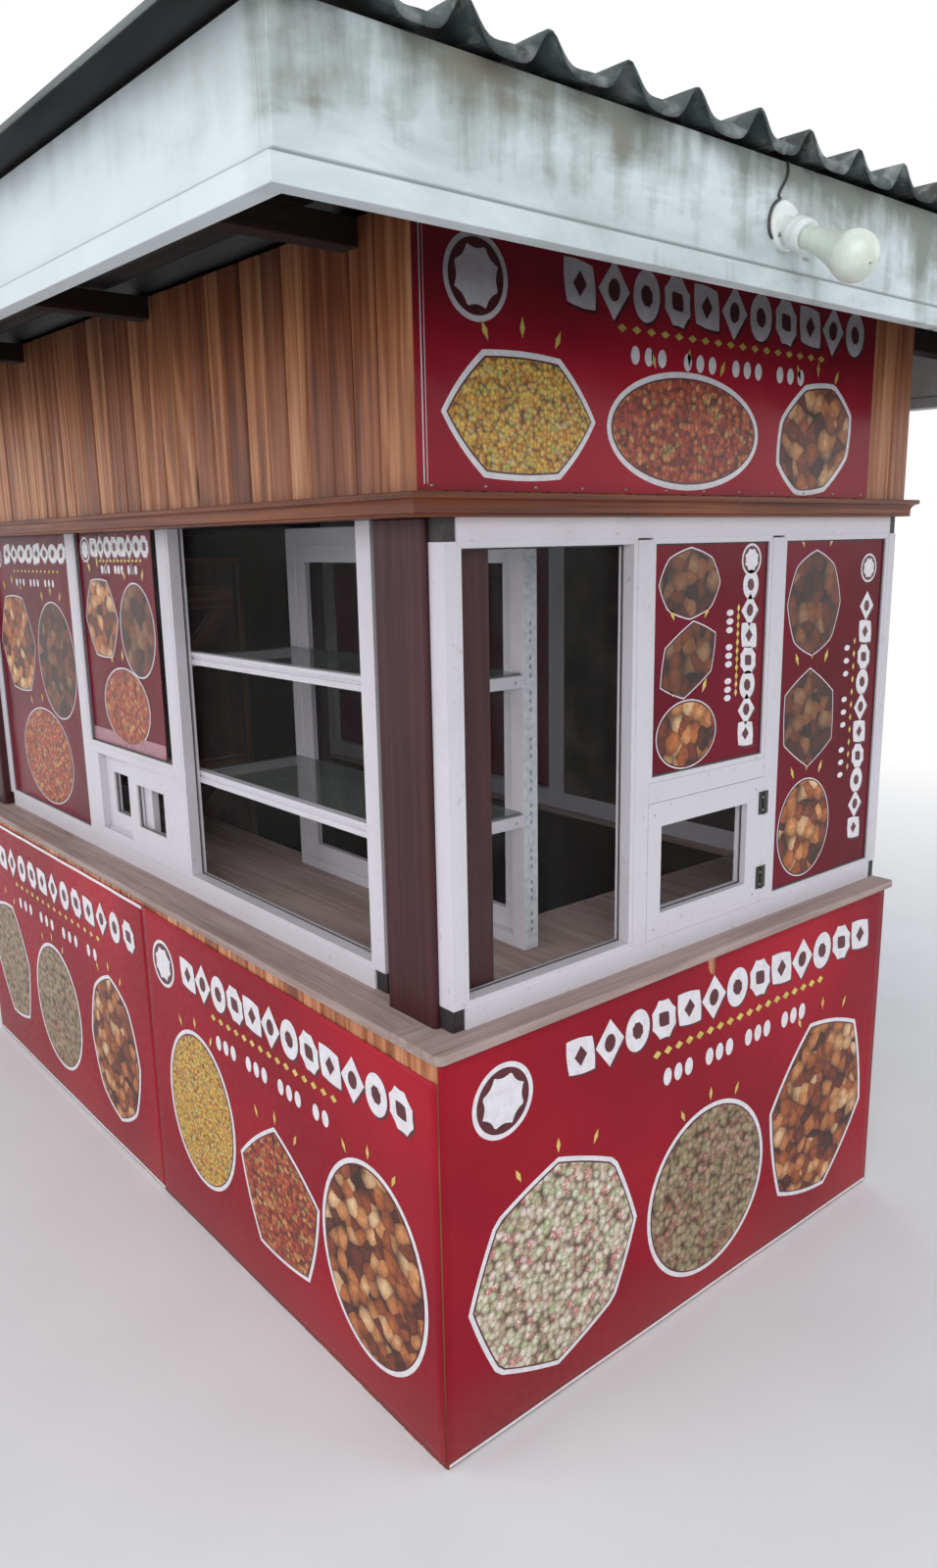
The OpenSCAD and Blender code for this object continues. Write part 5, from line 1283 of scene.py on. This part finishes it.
class KIOSK_OT_lamp(bpy.types.Operator):
    """Turn the lamp's holder and bulb, and clip its wire to the fascia"""
    bl_idname = "kiosk.lamp"
    bl_label = "Lamp"

    def execute(self, context):
        s = sizes()
        wire_lo, wire_hi = span("lamp_wire")
        centre = np.array([(wire_lo[0] + wire_hi[0]) / 2, FASCIA_LO[1], wire_lo[2] - s.lamp_plate])
        turn, tilt = math.radians(15), math.radians(26)
        axis = np.array([-math.sin(turn) * math.cos(tilt), -math.cos(turn) * math.cos(tilt), -math.sin(tilt)])
        p, c = s.lamp_plate, s.lamp_collar
        plate = revolved(centre, -BACK, [
            [0.001, 0], [p, 0], [p, 0.0055], [p - 0.001, 0.007], [p - 0.004, 0.0085], [p - 0.008, 0.009],
            [0.001, 0.009]])
        collar = revolved(centre, axis, [
            [0.001, 0.002], [0.018, 0.002], [0.018, 0.028], [0.0195, 0.0305], [0.0235, 0.0325], [0.0242, 0.0345],
            [0.0242, 0.042], [0.0236, 0.0432], [0.0242, 0.0444], [0.0242, 0.053], [0.0236, 0.055], [0.0222, c - 0.0015],
            [0.021, c - 0.0002], [0.001, c - 0.0002]])
        screws = domes([centre + [0.022, -0.009, 0.016], centre + [-0.022, -0.009, -0.016]], -BACK, 0.0034, 0.0014)
        shell = joined(plate, collar)
        piece("lamp_holder_moulded", shell, "moulded_plastic", replaces=("lamp_holder",))
        piece("lamp_screws", screws, "bright_screw", smooth=True)
        r, start, t = s.bulb / 2, math.radians(-20), np.linspace(0, 1, 14)
        foot = s.lamp_reach + r * math.sin(start)
        neck = np.stack([0.017 + (r * math.cos(start) - 0.017) * t ** 2.15, c - 0.0005 + (foot - c + 0.0005) * t],
                        axis=1)
        a = np.linspace(start, math.radians(88), 22)[1:]
        globe = np.stack([r * np.cos(a), s.lamp_reach + r * np.sin(a)], axis=1)
        bulb = revolved(centre, axis, np.concatenate([[[0.001, c - 0.0005]], neck, globe]), count=48)
        piece("opal_bulb", bulb, "opal_glass", smooth=True, replaces=("lamp_bulb",))
        self.wire(centre, wire_hi[2])
        return {"FINISHED"}

    def wire(self, centre, top):
        """A thin wire down the fascia that bows out and runs round the left of the plate to its foot."""
        plate, r = sizes().lamp_plate, 0.002
        a = np.radians(np.linspace(108, 232, 16))
        reach = plate + 0.0025 - 0.009 * np.clip((a - math.radians(205)) / math.radians(27), 0, 1)
        arc = np.stack([reach * np.cos(a), reach * np.sin(a)], axis=1)
        t = np.linspace(0, 1, 14)[:-1, None]
        drop = np.array([[0.004, top - centre[2]]]) * (1 - t) + arc[:1] * t
        drop[:, 0] += 0.006 * np.sin(math.pi * t[:, 0] * 1.6)
        flat = np.concatenate([drop, arc])
        path = np.stack([centre[0] + flat[:, 0], np.full(len(flat), FASCIA_LO[1] - r), centre[2] + flat[:, 1]], axis=1)
        along = np.gradient(path, axis=0)
        along = along / np.linalg.norm(along, axis=1, keepdims=True)
        out = -BACK
        phi = np.linspace(0, 2 * math.pi, 10, endpoint=False)
        points = path[:, None] + r * (np.cos(phi)[None, :, None] * np.cross(along, out)[:, None]
                                      + np.sin(phi)[None, :, None] * out)
        n = len(path)
        caps = np.array([np.arange(10), np.arange(10)[::-1] + 10 * (n - 1)])
        shell = points.reshape(-1, 3), [quads(n, 10, True), caps], np.zeros((10 * n, 2)), np.zeros(10 * n)
        piece("lamp_wire_sheath", shell, "wire_sheath", smooth=True, replaces=("lamp_wire",))


class KIOSK_OT_fixings(bpy.types.Operator):
    """Add the nail heads, screws and roofing fixings"""
    bl_idname = "kiosk.fixings"
    bl_label = "Nails and screws"

    def execute(self, context):
        r = sizes().nail / 2
        lo, hi = span("sign_panel")
        x = np.linspace(lo[0] + 0.03, hi[0] - 0.03, 12)
        heads = np.stack([x, 0 * x + lo[1], 0 * x + lo[2] + 0.008], axis=1)
        shell = domes(heads, -BACK, r, 0.0015)
        piece("sign_nails", shell, "bright_screw", smooth=True)
        self.hatch_screws()
        self.roof_screws()
        return {"FINISHED"}

    def hatch_screws(self):
        """Two screws in each leaf of the front hatch's hinges, and one in each corner of its sash."""
        heads = []
        for lo, hi in solids("front_hatch_hinges"):
            for z in (0.22, 0.78):
                heads += [[lo[0] + share * (hi[0] - lo[0]), lo[1], lo[2] + z * (hi[2] - lo[2])] for share in (0.2, 0.8)]
        shell = domes(heads, -BACK, 0.0028, 0.0010)
        piece("hinge_screws", shell, "bright_screw", smooth=True)
        lo, hi = span("front_hatch_sash")
        corners = [[x, lo[1], z] for x in (lo[0] + 0.024, hi[0] - 0.030) for z in (lo[2] + 0.026, hi[2] - 0.028)]
        shell = domes(corners, -BACK, 0.0030, 0.0009)
        piece("sash_screws", shell, "bright_screw", smooth=True)

    def roof_screws(self):
        """Screws with washers through the ribs over every purlin, on every second rib."""
        beams, pitch = solids("purlins"), sizes().rib_pitch
        middle = (ROOF_LO[0] + ROOF_HI[0]) / 2
        reach = int((ROOF_HI[0] - middle) / pitch - 0.6)
        x = middle + (np.arange(-reach, reach + 1, 2) + 0.5) * pitch
        (y0, z0), (y1, z1) = (((b[0][1] + b[1][1]) / 2, b[1][2]) for b in (beams[0], beams[-1]))
        y = np.array([(b[0][1] + b[1][1]) / 2 for b in beams])
        rib = ROOF_HI[2] - ROOF_LO[2] - (z1 - z0) / (y1 - y0) * (ROOF_HI[1] - ROOF_LO[1]) - 0.011
        z = ROOF_LO[2] + (z1 - z0) / (y1 - y0) * (y - ROOF_LO[1]) + rib * 0.90
        heads = np.stack([x[None] + 0 * y[:, None], y[:, None] + 0 * x[None], z[:, None] + 0 * x[None]], axis=-1)
        washers, nuts = domes(heads, UP, 0.013, 0.006), domes(heads + UP * 0.005, UP, 0.006, 0.005, count=6)
        shell = joined(washers, nuts)
        piece("roof_screws", shell, "bright_screw")


class KIOSK_OT_stage(bpy.types.Operator):
    """Set the floor, the soft lamps, the pale world and the camera"""
    bl_idname = "kiosk.stage"
    bl_label = "Stage"

    def execute(self, context):
        scene = context.scene
        scene.view_settings.view_transform = "Standard"
        n = 24
        a, b = np.meshgrid(np.linspace(-15, 15, n), np.linspace(-15, 15, n))
        mesh = bpy.data.meshes.new("floor")
        mesh.from_pydata(np.stack([a, b, 0 * a - 0.0005], -1).reshape(-1, 3).tolist(), [], quads(n, n).tolist())
        mesh.materials.append(material("studio_floor"))
        floor = bpy.data.objects.new("floor", mesh)
        scene.collection.objects.link(floor)
        for name, at, to, size, watts in (
                ("key", (-4.3, -5.2, 4.5), (0, -0.6, 1.2), 5.0, 205),
                ("fill", (4.3, -5.8, 4.0), (0.2, -1.0, 1.2), 5.0, 80),
                ("side", (-6.3, 2.5, 4.0), (-0.8, 0.3, 1.2), 5.0, 140),
                ("back", (3.5, 6.5, 5.0), (0, 1.0, 1.6), 5.0, 90)):
            light = bpy.data.lights.new(name, "AREA")
            light.size = size
            light.energy = watts
            lamp = bpy.data.objects.new(name, light)
            lamp.location = at
            lamp.rotation_euler = (Vector(to) - Vector(at)).to_track_quat("-Z", "Y").to_euler()
            scene.collection.objects.link(lamp)
        self.world(scene)
        self.camera(scene)
        return {"FINISHED"}

    def world(self, scene):
        """An even grey sky that lights the object, and plain white where the camera, a reflection or glass sees it."""
        world = bpy.data.worlds.new("studio")
        world.use_nodes = True
        tree = world.node_tree
        tree.nodes.clear()
        grey = add(tree, "Background", ["#DDE4EE", 0.75], 0)
        white = add(tree, "Background", ["#FFFFFF", 1.0], 0)
        add(tree, "OutputWorld", [add(tree, "MixShader", [seen_straight(tree), grey, white], 0)])
        scene.world = world

    def camera(self, scene):
        """The camera of the photograph, solved from the kiosk's own edges: turned from +Y towards +X by yaw, tilted by
        pitch and then rolled about its line of sight. It stands at eye level off the near left corner."""
        yaw, pitch, roll = (math.radians(v) for v in (39.683, -12.543, -1.040))
        ahead = Vector((math.cos(pitch) * math.sin(yaw), math.cos(pitch) * math.cos(yaw), math.sin(pitch)))
        right = Vector((math.cos(yaw), -math.sin(yaw), 0.0))
        up = right.cross(ahead)
        x_axis = right * math.cos(roll) + up * math.sin(roll)
        y_axis = up * math.cos(roll) - right * math.sin(roll)
        data = bpy.data.cameras.new("camera")
        data.lens = 25.09
        data.sensor_width = 36.0
        data.clip_end = 100.0
        camera = bpy.data.objects.new("camera", data)
        turn = Matrix((x_axis, y_axis, -ahead)).transposed()
        camera.matrix_world = Matrix.Translation((X0 - 1.2021, Y0 - 1.5629, 1.9488)) @ turn.to_4x4()
        scene.collection.objects.link(camera)
        scene.camera = camera


STEPS = (KIOSK_OT_stage, KIOSK_OT_wall_boards, KIOSK_OT_back_door, KIOSK_OT_timber, KIOSK_OT_moulding,
         KIOSK_OT_shopfronts, KIOSK_OT_banners, KIOSK_OT_signs, KIOSK_OT_roof, KIOSK_OT_lamp, KIOSK_OT_fixings)


class KIOSK_PT_panel(bpy.types.Panel):
    """The kiosk's settings and the steps that finish it"""
    bl_label = "Kiosk"
    bl_idname = "KIOSK_PT_panel"
    bl_space_type = "VIEW_3D"
    bl_region_type = "UI"
    bl_category = "Kiosk"

    def draw(self, context):
        column = self.layout.column()
        for group in (context.scene.kiosk_sizes, context.scene.kiosk_colours):
            for key in group.bl_rna.properties.keys():
                if key not in ("rna_type", "name"):
                    column.prop(group, key)
        for step in STEPS:
            column.operator(step.bl_idname)


CLASSES = (KioskSizes, KioskColours, *STEPS, KIOSK_PT_panel)


def register():
    for cls in CLASSES:
        bpy.utils.register_class(cls)
    bpy.types.Scene.kiosk_sizes = bpy.props.PointerProperty(type=KioskSizes)
    bpy.types.Scene.kiosk_colours = bpy.props.PointerProperty(type=KioskColours)


def unregister():
    del bpy.types.Scene.kiosk_colours
    del bpy.types.Scene.kiosk_sizes
    for cls in reversed(CLASSES):
        bpy.utils.unregister_class(cls)


def main():
    """Register the add-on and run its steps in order."""
    register()
    for step in STEPS:
        group, name = step.bl_idname.split(".")
        getattr(getattr(bpy.ops, group), name)()


if __name__ == "__main__":
    main()
